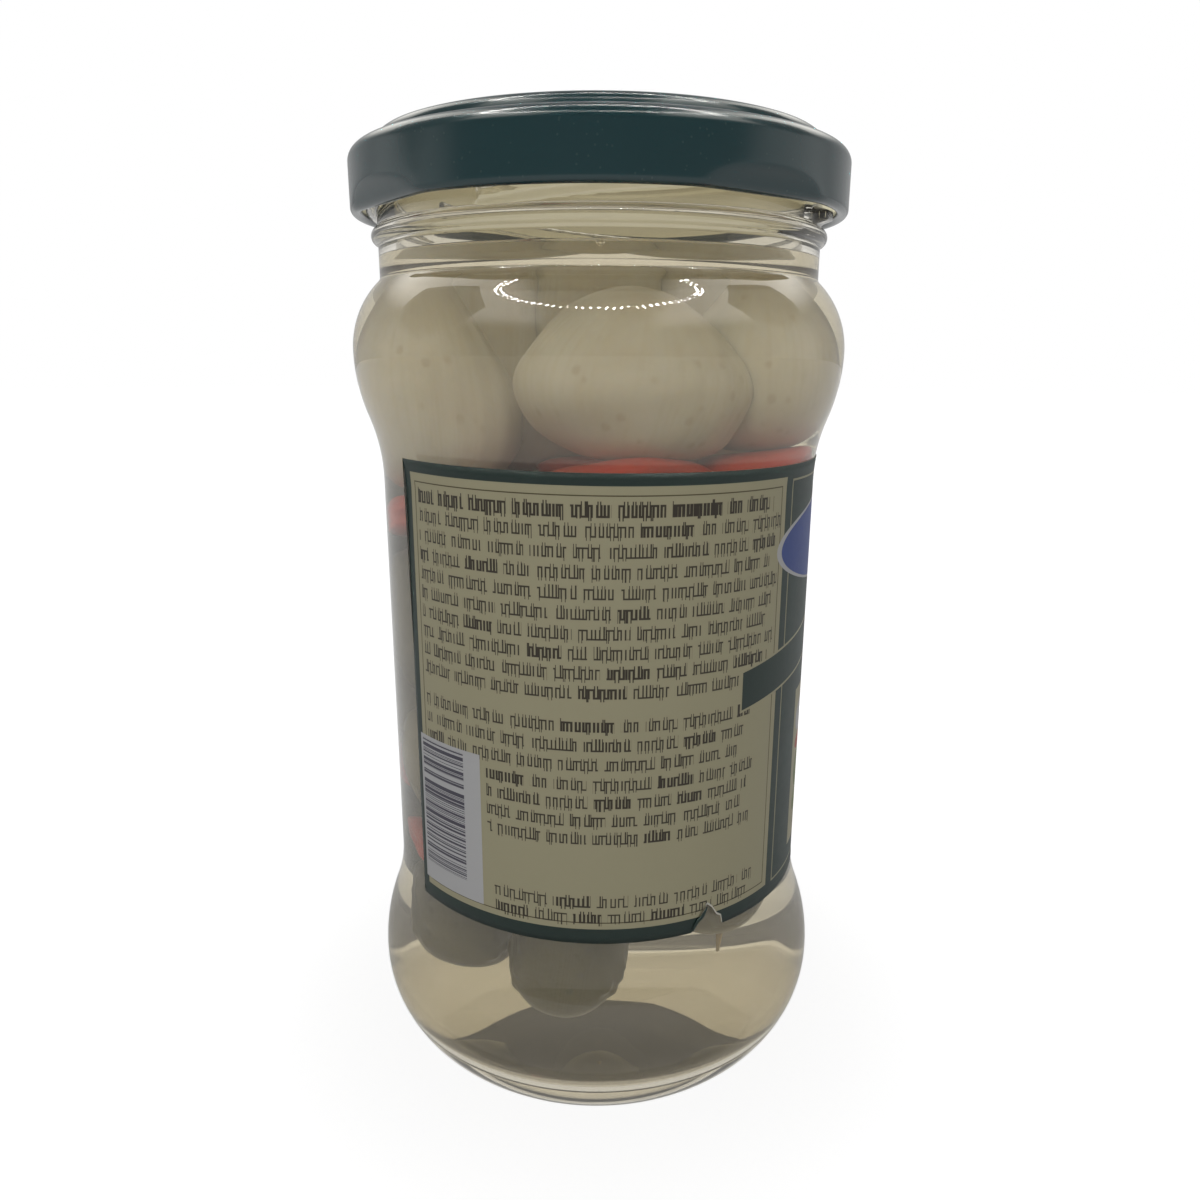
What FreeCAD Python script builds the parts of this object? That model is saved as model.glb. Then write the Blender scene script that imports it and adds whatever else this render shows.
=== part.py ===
"""A shut twist-off jar of pickle skewers: glass, metal lid, wrap-round label and brine.

The jar stands on the XY plane with its axis on Z. The sheet "Sizes" holds the driving sizes in
millimetres and degrees. Heights are stacked from the foot upwards and the lid is sized from the
neck, so a changed size carries through to everything that fits it. Azimuths are measured from
+X towards +Y; the middle of the printed back panel faces -Y.
"""
import FreeCAD, Part
import math
import os

import Sketcher

doc = FreeCAD.newDocument("PickleJar")

# Driving sizes: alias, value, what it is.
SIZES = (
    ("panel_radius", 32.15, "outer radius of the straight wall under the label"),
    ("panel_length", 59.0, "length of that straight wall"),
    ("bulge_proud", 3.35, "how far the heel and shoulder rings stand out from the panel"),
    ("blend_radius", 25.0, "radius of the two curves between panel and ring"),
    ("heel_height", 13.0, "height of the widest point of the heel ring"),
    ("heel_curve", 16.3, "radius of the heel below its widest point"),
    ("foot_round", 1.5, "rounding where the heel meets the standing ring"),
    ("foot_width", 2.0, "width of the flat standing ring"),
    ("push_up", 2.2, "height of the domed underside in the middle"),
    ("floor_height", 4.5, "height of the inside floor at its edge"),
    ("floor_dome", 1.0, "rise of the inside floor to the middle"),
    ("jar_wall", 2.4, "glass thickness of wall, shoulder and neck"),
    ("shoulder_curve", 13.0, "radius of the shoulder above its widest point"),
    ("neck_inset", 4.2, "how far the neck stands in from the shoulder ring"),
    ("neck_fillet", 0.6, "hollow rounding between shoulder and neck"),
    ("neck_length", 5.43, "from the neck fillet to the middle of the transfer bead"),
    ("bead_half", 1.1, "half the height of the transfer bead"),
    ("bead_round", 1.12, "radius of the transfer bead's section"),
    ("finish_height", 12.45, "from the middle of the transfer bead to the rim"),
    ("rim_round", 0.8, "rounding of the rim's two edges"),
    ("rim_taper", 0.5, "how far the outside of the rim stands in from the neck"),
    ("rim_taper_height", 3.0, "height below the rim over which the neck narrows to it"),
    ("thread_depth", 1.5, "how far the threads stand out from the neck"),
    ("thread_root", 2.3, "height of a thread where it leaves the neck"),
    ("thread_crest", 1.1, "height of a thread at its crest"),
    ("thread_lead", 18.7, "rise of a thread over a full turn"),
    ("thread_sweep", 87.0, "angle that one thread runs round the neck"),
    ("thread_starts", 4, "number of threads"),
    ("thread_below_rim", 10.35, "from the rim down to the middle of a thread's low end"),
    ("thread_azimuth", -117.0, "azimuth of the low end of the first thread"),
    ("thread_gap", 0.3, "clearance between thread crest and the lid's rolled edge"),
    ("headspace", 15.85, "from the rim down to the brine"),
    ("brine_gap", 0.02, "clearance between brine and glass"),
    ("lid_sheet", 0.35, "thickness of the lid's sheet metal"),
    ("curl_radius", 0.85, "outer radius of the rolled edge"),
    ("curl_turn", 220.0, "angle through which the edge is rolled"),
    ("skirt_drop", 9.8, "from the rim down to the bottom of the rolled edge"),
    ("ring_inset", 1.3, "from the neck radius in to the flat of the lid's raised ring"),
    ("ring_curve", 1.3, "outer rounding of the raised ring"),
    ("ring_step", 0.3, "how far outside the bore that flat begins"),
    ("crease_round", 0.35, "hollow radius of the crease outside the raised ring"),
    ("crease_turn", 83.0, "angle through which the crease turns"),
    ("lid_shoulder", 1.75, "rounding between the lid's top and its skirt"),
    ("recess_depth", 1.4, "depth of the recessed panel below the raised ring"),
    ("recess_run", 1.6, "width of the slope down to the recessed panel"),
    ("lug_count", 4, "number of lugs pressed in at the lid's edge"),
    ("lug_azimuth", -54.0, "azimuth of the middle of the first lug"),
    ("lug_gap", 0.45, "clearance between a lug's tongue and the neck"),
    ("lug_tongue_half", 8.0, "half the angle that a lug's tongue covers"),
    ("lug_tongue_lift", 0.1, "height of the tongue above the bottom of the rolled edge"),
    ("lug_tongue_thick", 0.95, "thickness of the tongue"),
    ("lug_back_half", 18.0, "half the angle of the metal drawn in behind a lug"),
    ("lug_back_height", 2.95, "height of that metal above the bottom of the rolled edge"),
    ("press_radius", 4.0, "radius of the tool that presses a lug"),
    ("press_depth", 1.4, "depth to which a lug is pressed"),
    ("press_lower", 0.35, "how far the tool's centre is below the rolled edge"),
    ("label_paper", 0.12, "thickness of the label"),
    ("label_glue", 0.02, "glue film between label and glass"),
    ("label_wrap", 320.0, "angle that the label covers"),
    ("label_azimuth", 17.5, "azimuth of the middle of the label"),
    ("label_over_top", 4.0, "how far the label runs up the blend above the panel"),
    ("label_over_foot", 1.4, "how far the label runs down the blend below the panel"),
    ("label_slant", 0.012, "fall of the label's edges for each unit across the front"),
    ("tear_left", 13.7, "left end of the torn notch in the label's lower edge, across"),
    ("tear_right", 18.1, "right end of the torn notch, across"),
    ("tear_peak", 15.7, "peak of the torn notch, across"),
    ("tear_height", 3.8, "height of the torn notch's peak above the label's lower edge"),
    ("tear_right_height", 1.2, "height of the notch's right flank where it turns down"),
)

sheet = doc.addObject("Spreadsheet::Sheet", "Sizes")
for row, (alias, value, meaning) in enumerate(SIZES, start=1):
    sheet.set(f"A{row}", meaning)
    sheet.set(f"B{row}", str(value))
    sheet.setAlias(f"B{row}", alias)
doc.recompute()


def size(alias):
    """Expression text that reads one cell of the sheet."""
    return f"Sizes.{alias}"


def number(text):
    """The value of an expression on the sheet, as a plain number."""
    value = sheet.evalExpression(text)
    return float(getattr(value, "Value", value))


# Derived places, as expressions on the sheet, so that each is worked out in one way only.
PANEL = size("panel_radius")
WALL = size("jar_wall")
PROUD = size("bulge_proud")
BLEND = size("blend_radius")
BULGE = f"({PANEL} + {PROUD})"
NECK = f"({BULGE} - {size('neck_inset')})"
RISE = f"sqrt(4 * {BLEND} * {PROUD} - {PROUD}^2)"
HEEL_Z = size("heel_height")
PANEL_LOW = f"({HEEL_Z} + {RISE})"
PANEL_HIGH = f"({PANEL_LOW} + {size('panel_length')})"
SHOULDER_Z = f"({PANEL_HIGH} + {RISE})"

HEEL = size("heel_curve")
FOOT = size("foot_round")
HEEL_X = f"({BULGE} - {HEEL})"
FOOT_RUN = f"sqrt(({HEEL} - {FOOT})^2 - ({HEEL_Z} - {FOOT})^2)"
FOOT_X = f"({HEEL_X} + {FOOT_RUN})"

SHOULDER = size("shoulder_curve")
FILLET = size("neck_fillet")
SHOULDER_X = f"({BULGE} - {SHOULDER})"
NECK_RUN = f"({NECK} + {FILLET} - {SHOULDER_X})"
NECK_RISE = f"sqrt(({SHOULDER} + {FILLET})^2 - {NECK_RUN}^2)"
NECK_Z = f"({SHOULDER_Z} + {NECK_RISE})"
BEAD_Z = f"({NECK_Z} + {size('neck_length')})"
RIM_Z = f"({BEAD_Z} + {size('finish_height')})"
BRINE_Z = f"({RIM_Z} - {size('headspace')})"

SHEET = size("lid_sheet")
CURL = size("curl_radius")
LID_RADIUS = f"({NECK} + {size('thread_depth')} + {size('thread_gap')} + 2 * {CURL})"
LID_TOP = f"({RIM_Z} + {SHEET})"
CURL_BOTTOM = f"({RIM_Z} - {size('skirt_drop')})"
CURL_X = f"({LID_RADIUS} - {CURL})"
CURL_Z = f"({CURL_BOTTOM} + {CURL})"


def origin_feature(body, role):
    """One of a body's own origin planes or axes, found by its role."""
    return next(item for item in body.Origin.OriginFeatures if item.Role == role)


def new_body(label):
    """A body whose label names its file."""
    body = doc.addObject("PartDesign::Body", "Body_" + label)
    body.Label = label
    return body


def new_sketch(body, name, role="XZ_Plane", turn=None):
    """A sketch on one of the body's origin planes, turned about the vertical by an expression."""
    sketch = body.newObject("Sketcher::SketchObject", name)
    sketch.AttachmentSupport = [(origin_feature(body, role), "")]
    sketch.MapMode = "FlatFace"
    if turn is not None:
        upright = FreeCAD.Rotation(FreeCAD.Vector(0, 1, 0), number(turn))
        sketch.AttachmentOffset = FreeCAD.Placement(FreeCAD.Vector(), upright)
        sketch.setExpression("AttachmentOffset.Rotation.Angle", turn)
    return sketch


def pin_down(sketch, edge, end, corner):
    """Bind one end of an edge to its corner's two expressions."""
    axes = (("DistanceX", -2, corner[0]), ("DistanceY", -1, corner[1]))
    for kind, axis, text in axes:
        value = number(text)
        if text == "0":
            sketch.addConstraint(Sketcher.Constraint("PointOnObject", edge, end, axis))
        else:
            index = sketch.addConstraint(Sketcher.Constraint(kind, -1, 1, edge, end, value))
            sketch.setExpression(f"Constraints[{index}]", text)


def draw(sketch, path):
    """Draw a closed outline.

    path is a list of (x, z, bend): the corner's two expressions, and the edge that leaves it.
    bend is None for a straight edge, or (radius expression, side), where side is +1 when the
    arc's centre is on the left of the way to the next corner and -1 when it is on the right.
    """
    count = len(path)
    points = [FreeCAD.Vector(number(x), number(z), 0) for x, z, bend in path]
    up = FreeCAD.Vector(0, 0, 1)
    ends = []
    for index, (x, z, bend) in enumerate(path):
        start = points[index]
        finish = points[(index + 1) % count]
        if bend is None:
            sketch.addGeometry(Part.LineSegment(start, finish), False)
            ends.append((1, 2))
            continue
        radius = number(bend[0])
        chord = finish - start
        reach = math.sqrt(radius ** 2 - (chord.Length / 2) ** 2)
        left = up.cross(chord).normalize()
        centre = start + chord * 0.5 + left * (reach * bend[1])
        first, last = (start, finish) if bend[1] > 0 else (finish, start)
        first_angle = math.atan2(first.y - centre.y, first.x - centre.x)
        last_angle = math.atan2(last.y - centre.y, last.x - centre.x)
        circle = Part.Circle(centre, up, radius)
        sketch.addGeometry(Part.ArcOfCircle(circle, first_angle, last_angle), False)
        ends.append((1, 2) if bend[1] > 0 else (2, 1))
    for index in range(count):
        after = (index + 1) % count
        joint = Sketcher.Constraint("Coincident", index, ends[index][1], after, ends[after][0])
        sketch.addConstraint(joint)
    for index, (x, z, bend) in enumerate(path):
        pin_down(sketch, index, ends[index][0], (x, z))
        if bend is not None:
            held = sketch.addConstraint(Sketcher.Constraint("Radius", index, number(bend[0])))
            sketch.setExpression(f"Constraints[{held}]", bend[0])
    if sketch.solve() != 0:
        raise RuntimeError(f"sketch {sketch.Name} doesn't solve")
    return sketch


def revolve(body, name, sketch, kind="Revolution", half_angle=None):
    """Revolve a sketch about the vertical axis, all round or by half_angle to each side."""
    feature = body.newObject("PartDesign::" + kind, name)
    feature.Profile = sketch
    feature.ReferenceAxis = (sketch, ["V_Axis"])
    feature.Angle = 360
    if half_angle is not None:
        feature.Midplane = True
        feature.setExpression("Angle", f"2 * {half_angle}")
    sketch.Visibility = False
    return feature


def repeat(body, name, originals, count):
    """Repeat features round the vertical axis."""
    pattern = body.newObject("PartDesign::PolarPattern", name)
    pattern.Originals = originals
    pattern.Axis = (originals[0].Profile[0], ["V_Axis"])
    pattern.Angle = 360
    pattern.setExpression("Occurrences", count)
    body.Tip = pattern
    return pattern


def cut_through(body, name, sketch, both_ways=True):
    """Cut a sketch's outline through the whole body, and check that it removed something."""
    doc.recompute()
    before = body.Shape.Volume
    pocket = body.newObject("PartDesign::Pocket", name)
    pocket.Profile = sketch
    pocket.Midplane = both_ways
    pocket.Reversed = not both_ways
    pocket.Type = "Length"
    pocket.setExpression("Length", f"3 * {BULGE}")
    sketch.Visibility = False
    doc.recompute()
    if body.Shape.Volume >= before:
        raise RuntimeError(f"{name} removes nothing")
    return pocket


def cavity(wall):
    """The inside of the jar from the rim's level down to the axis, as outline corners.

    wall is an expression: the glass thickness, or a little more for what fills the glass.
    """
    inner_x = f"({BULGE} - {BLEND} + ({BLEND} - {PROUD} / 2) * ({BLEND} - {wall}) / {BLEND})"
    inner_rise = f"({RISE} / 2 * ({BLEND} - {wall}) / {BLEND})"
    turn = f"(({SHOULDER} - {wall}) / ({SHOULDER} + {FILLET}))"
    floor = f"({size('floor_height')} + {wall} - {WALL})"
    dome = size("floor_dome")
    heel = f"({HEEL_Z} - {floor})"
    edge = f"({BULGE} - {wall} - {heel})"
    dome_radius = f"(({edge}^2 + {dome}^2) / (2 * {dome}))"
    return [
        (f"{NECK} - {wall}", NECK_Z, (f"{FILLET} + {wall}", 1)),
        (f"{SHOULDER_X} + {NECK_RUN} * {turn}", f"{SHOULDER_Z} + {NECK_RISE} * {turn}",
         (f"{SHOULDER} - {wall}", -1)),
        (f"{BULGE} - {wall}", SHOULDER_Z, (f"{BLEND} - {wall}", -1)),
        (inner_x, f"{SHOULDER_Z} - {inner_rise}", (f"{BLEND} + {wall}", 1)),
        (f"{PANEL} - {wall}", PANEL_HIGH, None),
        (f"{PANEL} - {wall}", PANEL_LOW, (f"{BLEND} + {wall}", 1)),
        (inner_x, f"{HEEL_Z} + {inner_rise}", (f"{BLEND} - {wall}", -1)),
        (f"{BULGE} - {wall}", HEEL_Z, (heel, -1)),
        (edge, floor, (dome_radius, 1)),
        ("0", f"{floor} + {dome}", None),
    ]


def build_jar():
    """The glass: one outline revolved, and the four threads on its neck."""
    body = new_body("jar")
    heel_share = f"({HEEL} / ({HEEL} - {FOOT}))"
    shoulder_share = f"({SHOULDER} / ({SHOULDER} + {FILLET}))"
    middle = f"({PANEL} + {PROUD} / 2)"
    rim = size("rim_round")
    rim_x = f"({NECK} - {size('rim_taper')})"
    bead = size("bead_half")
    bead_bend = (size("bead_round"), 1)
    foot_inner = f"({FOOT_X} - {size('foot_width')})"
    push = size("push_up")
    push_radius = f"(({foot_inner}^2 + {push}^2) / (2 * {push}))"
    outside = [
        (FOOT_X, "0", (FOOT, 1)),
        (f"{HEEL_X} + {FOOT_RUN} * {heel_share}",
         f"{HEEL_Z} - ({HEEL_Z} - {FOOT}) * {heel_share}", (HEEL, 1)),
        (BULGE, HEEL_Z, (BLEND, 1)),
        (middle, f"{HEEL_Z} + {RISE} / 2", (BLEND, -1)),
        (PANEL, PANEL_LOW, None),
        (PANEL, PANEL_HIGH, (BLEND, -1)),
        (middle, f"{SHOULDER_Z} - {RISE} / 2", (BLEND, 1)),
        (BULGE, SHOULDER_Z, (SHOULDER, 1)),
        (f"{SHOULDER_X} + {NECK_RUN} * {shoulder_share}",
         f"{SHOULDER_Z} + {NECK_RISE} * {shoulder_share}", (FILLET, -1)),
        (NECK, NECK_Z, None),
        (NECK, f"{BEAD_Z} - {bead}", bead_bend),
        (NECK, f"{BEAD_Z} + {bead}", None),
        (NECK, f"{RIM_Z} - {size('rim_taper_height')}", None),
        (rim_x, f"{RIM_Z} - {rim}", (rim, 1)),
        (f"{rim_x} - {rim}", RIM_Z, None),
        (f"{NECK} - {WALL} + {rim}", RIM_Z, (rim, 1)),
        (f"{NECK} - {WALL}", f"{RIM_Z} - {rim}", None),
    ]
    underside = [
        ("0", push, (push_radius, -1)),
        (foot_inner, "0", None),
    ]
    profile = draw(new_sketch(body, "JarProfile"), outside + cavity(WALL) + underside)
    revolve(body, "JarGlass", profile)

    thread_z = f"({RIM_Z} - {size('thread_below_rim')})"
    root = size("thread_root")
    crest = size("thread_crest")
    sunk = f"({NECK} - {WALL} / 4)"
    tip = f"({NECK} + {size('thread_depth')})"
    section = draw(new_sketch(body, "ThreadSection", turn=size("thread_azimuth")), [
        (sunk, f"{thread_z} - {root} / 2", None),
        (NECK, f"{thread_z} - {root} / 2", None),
        (tip, f"{thread_z} - {crest} / 2", None),
        (tip, f"{thread_z} + {crest} / 2", None),
        (NECK, f"{thread_z} + {root} / 2", None),
        (sunk, f"{thread_z} + {root} / 2", None),
    ])
    doc.recompute()
    thread = body.newObject("PartDesign::AdditiveHelix", "Thread")
    thread.Profile = section
    thread.ReferenceAxis = (section, ["V_Axis"])
    thread.Mode = 0
    thread.setExpression("Pitch", size("thread_lead"))
    thread.setExpression("Height", f"{size('thread_lead')} * {size('thread_sweep')} / 360")
    section.Visibility = False
    repeat(body, "Threads", [thread], size("thread_starts"))
    return body


def build_lid():
    """The lid: sheet metal with a raised ring, a rolled edge and lugs pressed in."""
    body = new_body("lid")
    ring_out = f"({NECK} - {size('ring_inset')})"
    ring_in = f"({NECK} - {WALL} + {size('ring_step')})"
    ring = size("ring_curve")
    run = size("recess_run")
    depth = size("recess_depth")
    slope = f"(({run}^2 + {depth}^2) / (4 * {depth}))"
    crease = size("crease_round")
    turn = size("crease_turn")
    crease_x = f"({ring_out} + {ring})"
    crease_z = f"({LID_TOP} - {ring})"
    shoulder = size("lid_shoulder")
    flat_run = (f"({LID_RADIUS} - {crease_x}"
                f" - ({crease} + {shoulder}) * (1 - cos({turn} * 1 deg)))")
    shoulder_z = (f"({crease_z} - ({crease} + {shoulder}) * sin({turn} * 1 deg)"
                  f" - {flat_run} / tan({turn} * 1 deg))")
    roll = size("curl_turn")

    def crease_corner(offset):
        """Where the crease ends, a sheet thickness in for the inside."""
        hollow = f"({crease} + {offset})"
        across = f"{crease_x} + {crease} - {hollow} * cos({turn} * 1 deg)"
        height = f"{crease_z} - {hollow} * sin({turn} * 1 deg)"
        return across, height

    def shoulder_corner(offset):
        """Where the rounding down to the skirt begins, a sheet thickness in for the inside."""
        curve = f"({shoulder} - {offset})"
        across = f"{LID_RADIUS} - {shoulder} + {curve} * cos({turn} * 1 deg)"
        height = f"{shoulder_z} + {curve} * sin({turn} * 1 deg)"
        return across, height

    def roll_end(radius):
        """Where the rolled edge stops, at a radius from the middle of the roll."""
        across = f"{CURL_X} + {radius} * cos({roll} * 1 deg)"
        height = f"{CURL_Z} - {radius} * sin({roll} * 1 deg)"
        return across, height

    inside_curl = f"({CURL} - {SHEET})"
    outer_end = roll_end(CURL)
    inner_end = roll_end(inside_curl)
    outer_crease = crease_corner("0")
    inner_crease = crease_corner(SHEET)
    outer_shoulder = shoulder_corner("0")
    inner_shoulder = shoulder_corner(SHEET)
    middle_x = f"({ring_in} - {run} / 2)"
    slope_lean = f"({run} / 2 / {slope})"
    slope_drop = f"(1 - {depth} / 2 / {slope})"
    outline = [
        ("0", f"{LID_TOP} - {depth}", None),
        (f"{ring_in} - {run}", f"{LID_TOP} - {depth}", (slope, 1)),
        (middle_x, f"{LID_TOP} - {depth} / 2", (slope, -1)),
        (ring_in, LID_TOP, None),
        (ring_out, LID_TOP, (ring, -1)),
        (crease_x, crease_z, (crease, 1)),
        (outer_crease[0], outer_crease[1], None),
        (outer_shoulder[0], outer_shoulder[1], (shoulder, -1)),
        (LID_RADIUS, shoulder_z, None),
        (LID_RADIUS, CURL_Z, (CURL, -1)),
        (f"{CURL_X}", CURL_BOTTOM, (CURL, -1)),
        (f"{CURL_X} - {CURL}", CURL_Z, (CURL, -1)),
        (outer_end[0], outer_end[1], None),
        (inner_end[0], inner_end[1], (inside_curl, 1)),
        (f"{CURL_X} - {inside_curl}", CURL_Z, (inside_curl, 1)),
        (f"{CURL_X}", f"{CURL_BOTTOM} + {SHEET}", (inside_curl, 1)),
        (f"{LID_RADIUS} - {SHEET}", CURL_Z, None),
        (f"{LID_RADIUS} - {SHEET}", shoulder_z, (f"{shoulder} - {SHEET}", 1)),
        (inner_shoulder[0], inner_shoulder[1], None),
        (inner_crease[0], inner_crease[1], (f"{crease} + {SHEET}", -1)),
        (f"{crease_x} - {SHEET}", crease_z, (f"{ring} - {SHEET}", 1)),
        (ring_out, f"{LID_TOP} - {SHEET}", None),
        (ring_in, f"{LID_TOP} - {SHEET}", (f"{slope} - {SHEET}", 1)),
        (f"{middle_x} + {SHEET} * {slope_lean}",
         f"{LID_TOP} - {depth} / 2 - {SHEET} * {slope_drop}", (f"{slope} + {SHEET}", -1)),
        (f"{ring_in} - {run}", f"{LID_TOP} - {depth} - {SHEET}", None),
        ("0", f"{LID_TOP} - {depth} - {SHEET}", None),
    ]
    revolve(body, "LidSheet", draw(new_sketch(body, "LidProfile"), outline))

    azimuth = size("lug_azimuth")
    back_top = f"({CURL_BOTTOM} + {size('lug_back_height')})"
    back_out = f"({LID_RADIUS} - {SHEET} / 4)"
    back_in = f"({LID_RADIUS} - 2 * {CURL})"
    backing = draw(new_sketch(body, "LugBackSection", turn=azimuth), [
        (back_in, CURL_BOTTOM, None),
        (back_out, CURL_BOTTOM, None),
        (back_out, back_top, None),
        (back_in, f"{back_top} - {CURL}", None),
    ])
    back = revolve(body, "LugBack", backing, half_angle=size("lug_back_half"))
    tongue_low = f"({CURL_BOTTOM} + {size('lug_tongue_lift')})"
    tongue_high = f"({tongue_low} + {size('lug_tongue_thick')})"
    tongue_in = f"({NECK} + {size('lug_gap')})"
    tongue_out = f"({back_in} + {SHEET})"
    tongue_section = draw(new_sketch(body, "LugTongueSection", turn=azimuth), [
        (tongue_in, tongue_low, None),
        (tongue_out, tongue_low, None),
        (tongue_out, tongue_high, None),
        (tongue_in, tongue_high, None),
    ])
    tongue = revolve(body, "LugTongue", tongue_section, half_angle=size("lug_tongue_half"))

    press = new_sketch(body, "LugPressSection", turn=azimuth)
    press_x = f"{LID_RADIUS} + {size('press_radius')} - {size('press_depth')}"
    press_z = f"{CURL_BOTTOM} - {size('press_lower')}"
    centre = FreeCAD.Vector(number(press_x), number(press_z), 0)
    tool = Part.Circle(centre, FreeCAD.Vector(0, 0, 1), number(size("press_radius")))
    press.addGeometry(tool, False)
    held = press.addConstraint(Sketcher.Constraint("Radius", 0, tool.Radius))
    press.setExpression(f"Constraints[{held}]", size("press_radius"))
    pin_down(press, 0, 3, (press_x, press_z))
    dent = cut_through(body, "LugPress", press)
    repeat(body, "Lugs", [back, tongue, dent], size("lug_count"))
    return body


def build_label():
    """The label: a thin strip on the glass that follows the blends at both its edges."""
    body = new_body("label")
    glue = size("label_glue")
    outer = f"({glue} + {size('label_paper')})"
    centre_x = f"({PANEL} + {BLEND})"
    lean = f"({BLEND} - {PROUD} / 2)"

    def blend_end(offset, height, way):
        """A point on a blend's end, at an offset from the glass."""
        share = f"(({BLEND} - {offset}) / {BLEND})"
        return f"{centre_x} - {lean} * {share}", f"{height} + {way} * {RISE} / 2 * {share}"

    low_in = blend_end(glue, PANEL_LOW, "-1")
    high_in = blend_end(glue, PANEL_HIGH, "1")
    low_out = blend_end(outer, PANEL_LOW, "-1")
    high_out = blend_end(outer, PANEL_HIGH, "1")
    strip = draw(new_sketch(body, "LabelSection", turn=size("label_azimuth")), [
        (low_out[0], low_out[1], (f"{BLEND} - {outer}", -1)),
        (f"{PANEL} + {outer}", PANEL_LOW, None),
        (f"{PANEL} + {outer}", PANEL_HIGH, (f"{BLEND} - {outer}", -1)),
        (high_out[0], high_out[1], None),
        (high_in[0], high_in[1], (f"{BLEND} - {glue}", 1)),
        (f"{PANEL} + {glue}", PANEL_HIGH, None),
        (f"{PANEL} + {glue}", PANEL_LOW, (f"{BLEND} - {glue}", 1)),
        (low_in[0], low_in[1], None),
    ])
    revolve(body, "LabelStrip", strip, half_angle=f"{size('label_wrap')} / 2")

    reach = f"(1.5 * {BULGE})"
    fall = f"{reach} * {size('label_slant')}"
    top = f"{PANEL_HIGH} + {size('label_over_top')}"
    foot = f"{PANEL_LOW} - {size('label_over_foot')}"
    above = draw(new_sketch(body, "LabelTopCut"), [
        (f"-{reach}", f"{top} + {fall}", None),
        (reach, f"{top} - {fall}", None),
        (reach, SHOULDER_Z, None),
        (f"-{reach}", SHOULDER_Z, None),
    ])
    cut_through(body, "LabelTop", above)
    below = draw(new_sketch(body, "LabelFootCut"), [
        (f"-{reach}", HEEL_Z, None),
        (reach, HEEL_Z, None),
        (reach, f"{foot} - {fall}", None),
        (f"-{reach}", f"{foot} + {fall}", None),
    ])
    cut_through(body, "LabelFoot", below)

    notch = draw(new_sketch(body, "LabelTear"), [
        (size("tear_left"), HEEL_Z, None),
        (size("tear_right"), HEEL_Z, None),
        (size("tear_right"), f"{foot} + {size('tear_right_height')}", None),
        (size("tear_peak"), f"{foot} + {size('tear_height')}", None),
        (size("tear_left"), foot, None),
    ])
    cut_through(body, "LabelNotch", notch, both_ways=False)
    return body


def build_brine():
    """The brine: it fills the glass up to its level in the neck."""
    body = new_body("brine")
    wall = f"({WALL} + {size('brine_gap')})"
    filling = [
        ("0", RIM_Z, None),
        (f"{NECK} - {wall}", RIM_Z, None),
    ]
    profile = draw(new_sketch(body, "BrineProfile"), filling + cavity(wall))
    revolve(body, "BrineFill", profile)
    air = draw(new_sketch(body, "BrineLevel"), [
        (f"-{BULGE}", BRINE_Z, None),
        (BULGE, BRINE_Z, None),
        (BULGE, f"{RIM_Z} + {WALL}", None),
        (f"-{BULGE}", f"{RIM_Z} + {WALL}", None),
    ])
    cut_through(body, "BrineTop", air)
    return body


bodies = [build_jar(), build_lid(), build_label(), build_brine()]
doc.recompute()

for item in doc.Objects:
    if "Invalid" in item.State or "Error" in item.State:
        raise RuntimeError(f"{item.Name} failed: {item.State}")

os.makedirs("parts", exist_ok=True)
for body in bodies:
    shape = body.Shape
    if shape.isNull() or not shape.isValid() or len(shape.Solids) != 1:
        raise RuntimeError(f"{body.Label} isn't one sound solid")
    shape.exportStep(f"parts/{body.Label}.step")
    print(f"{body.Label}: {shape.Volume / 1000:.2f} cm3")
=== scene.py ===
"""Looks of a shut twist-off jar of pickle skewers: glass, enamelled lid, printed label and filling.

Sizes are in millimetres and angles in degrees, and the meshes are written in metres in the frame's
own axes: the jar stands on the XY plane with its axis on Z. An azimuth is measured from the -Y
direction, which the printed back panel faces, towards +X.
"""
from __future__ import annotations

import sys

import logging
import math
from dataclasses import dataclass, field
from enum import Enum
from typing import Any, Optional, Sequence, Union

import bpy
import numpy as np
from mathutils import Matrix, Vector

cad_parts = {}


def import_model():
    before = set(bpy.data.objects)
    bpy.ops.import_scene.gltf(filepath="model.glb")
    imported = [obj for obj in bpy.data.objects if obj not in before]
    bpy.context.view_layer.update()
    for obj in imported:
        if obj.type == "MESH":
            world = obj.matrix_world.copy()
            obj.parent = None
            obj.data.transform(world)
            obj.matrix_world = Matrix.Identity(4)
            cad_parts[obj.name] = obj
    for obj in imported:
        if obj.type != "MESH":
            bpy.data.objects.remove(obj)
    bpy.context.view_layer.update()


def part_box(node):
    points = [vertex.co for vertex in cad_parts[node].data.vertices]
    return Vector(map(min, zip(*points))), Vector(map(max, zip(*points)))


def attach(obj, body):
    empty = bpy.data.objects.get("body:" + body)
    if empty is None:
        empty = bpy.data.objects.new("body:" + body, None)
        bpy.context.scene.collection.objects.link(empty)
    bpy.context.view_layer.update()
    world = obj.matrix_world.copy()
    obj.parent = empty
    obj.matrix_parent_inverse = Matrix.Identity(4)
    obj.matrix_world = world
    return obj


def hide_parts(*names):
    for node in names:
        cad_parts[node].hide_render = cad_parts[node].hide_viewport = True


MM = 0.001
LOG = logging.getLogger("pickle_jar")


def paint(red: float, green: float, blue: float) -> tuple[float, float, float, float]:
    """Turn a display colour of 0 to 255 into the linear colour that a shader takes.

    Args:
        red: Display red.
        green: Display green.
        blue: Display blue.

    Returns:
        Linear red, green and blue, and an alpha of 1.
    """
    shares = np.array([red, green, blue]) / 255.0
    linear = np.where(shares <= 0.04045, shares / 12.92, ((shares + 0.055) / 1.055) ** 2.4)
    return (float(linear[0]), float(linear[1]), float(linear[2]), 1.0)


# ---------------------------------------------------------------------------- shader maths


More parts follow.
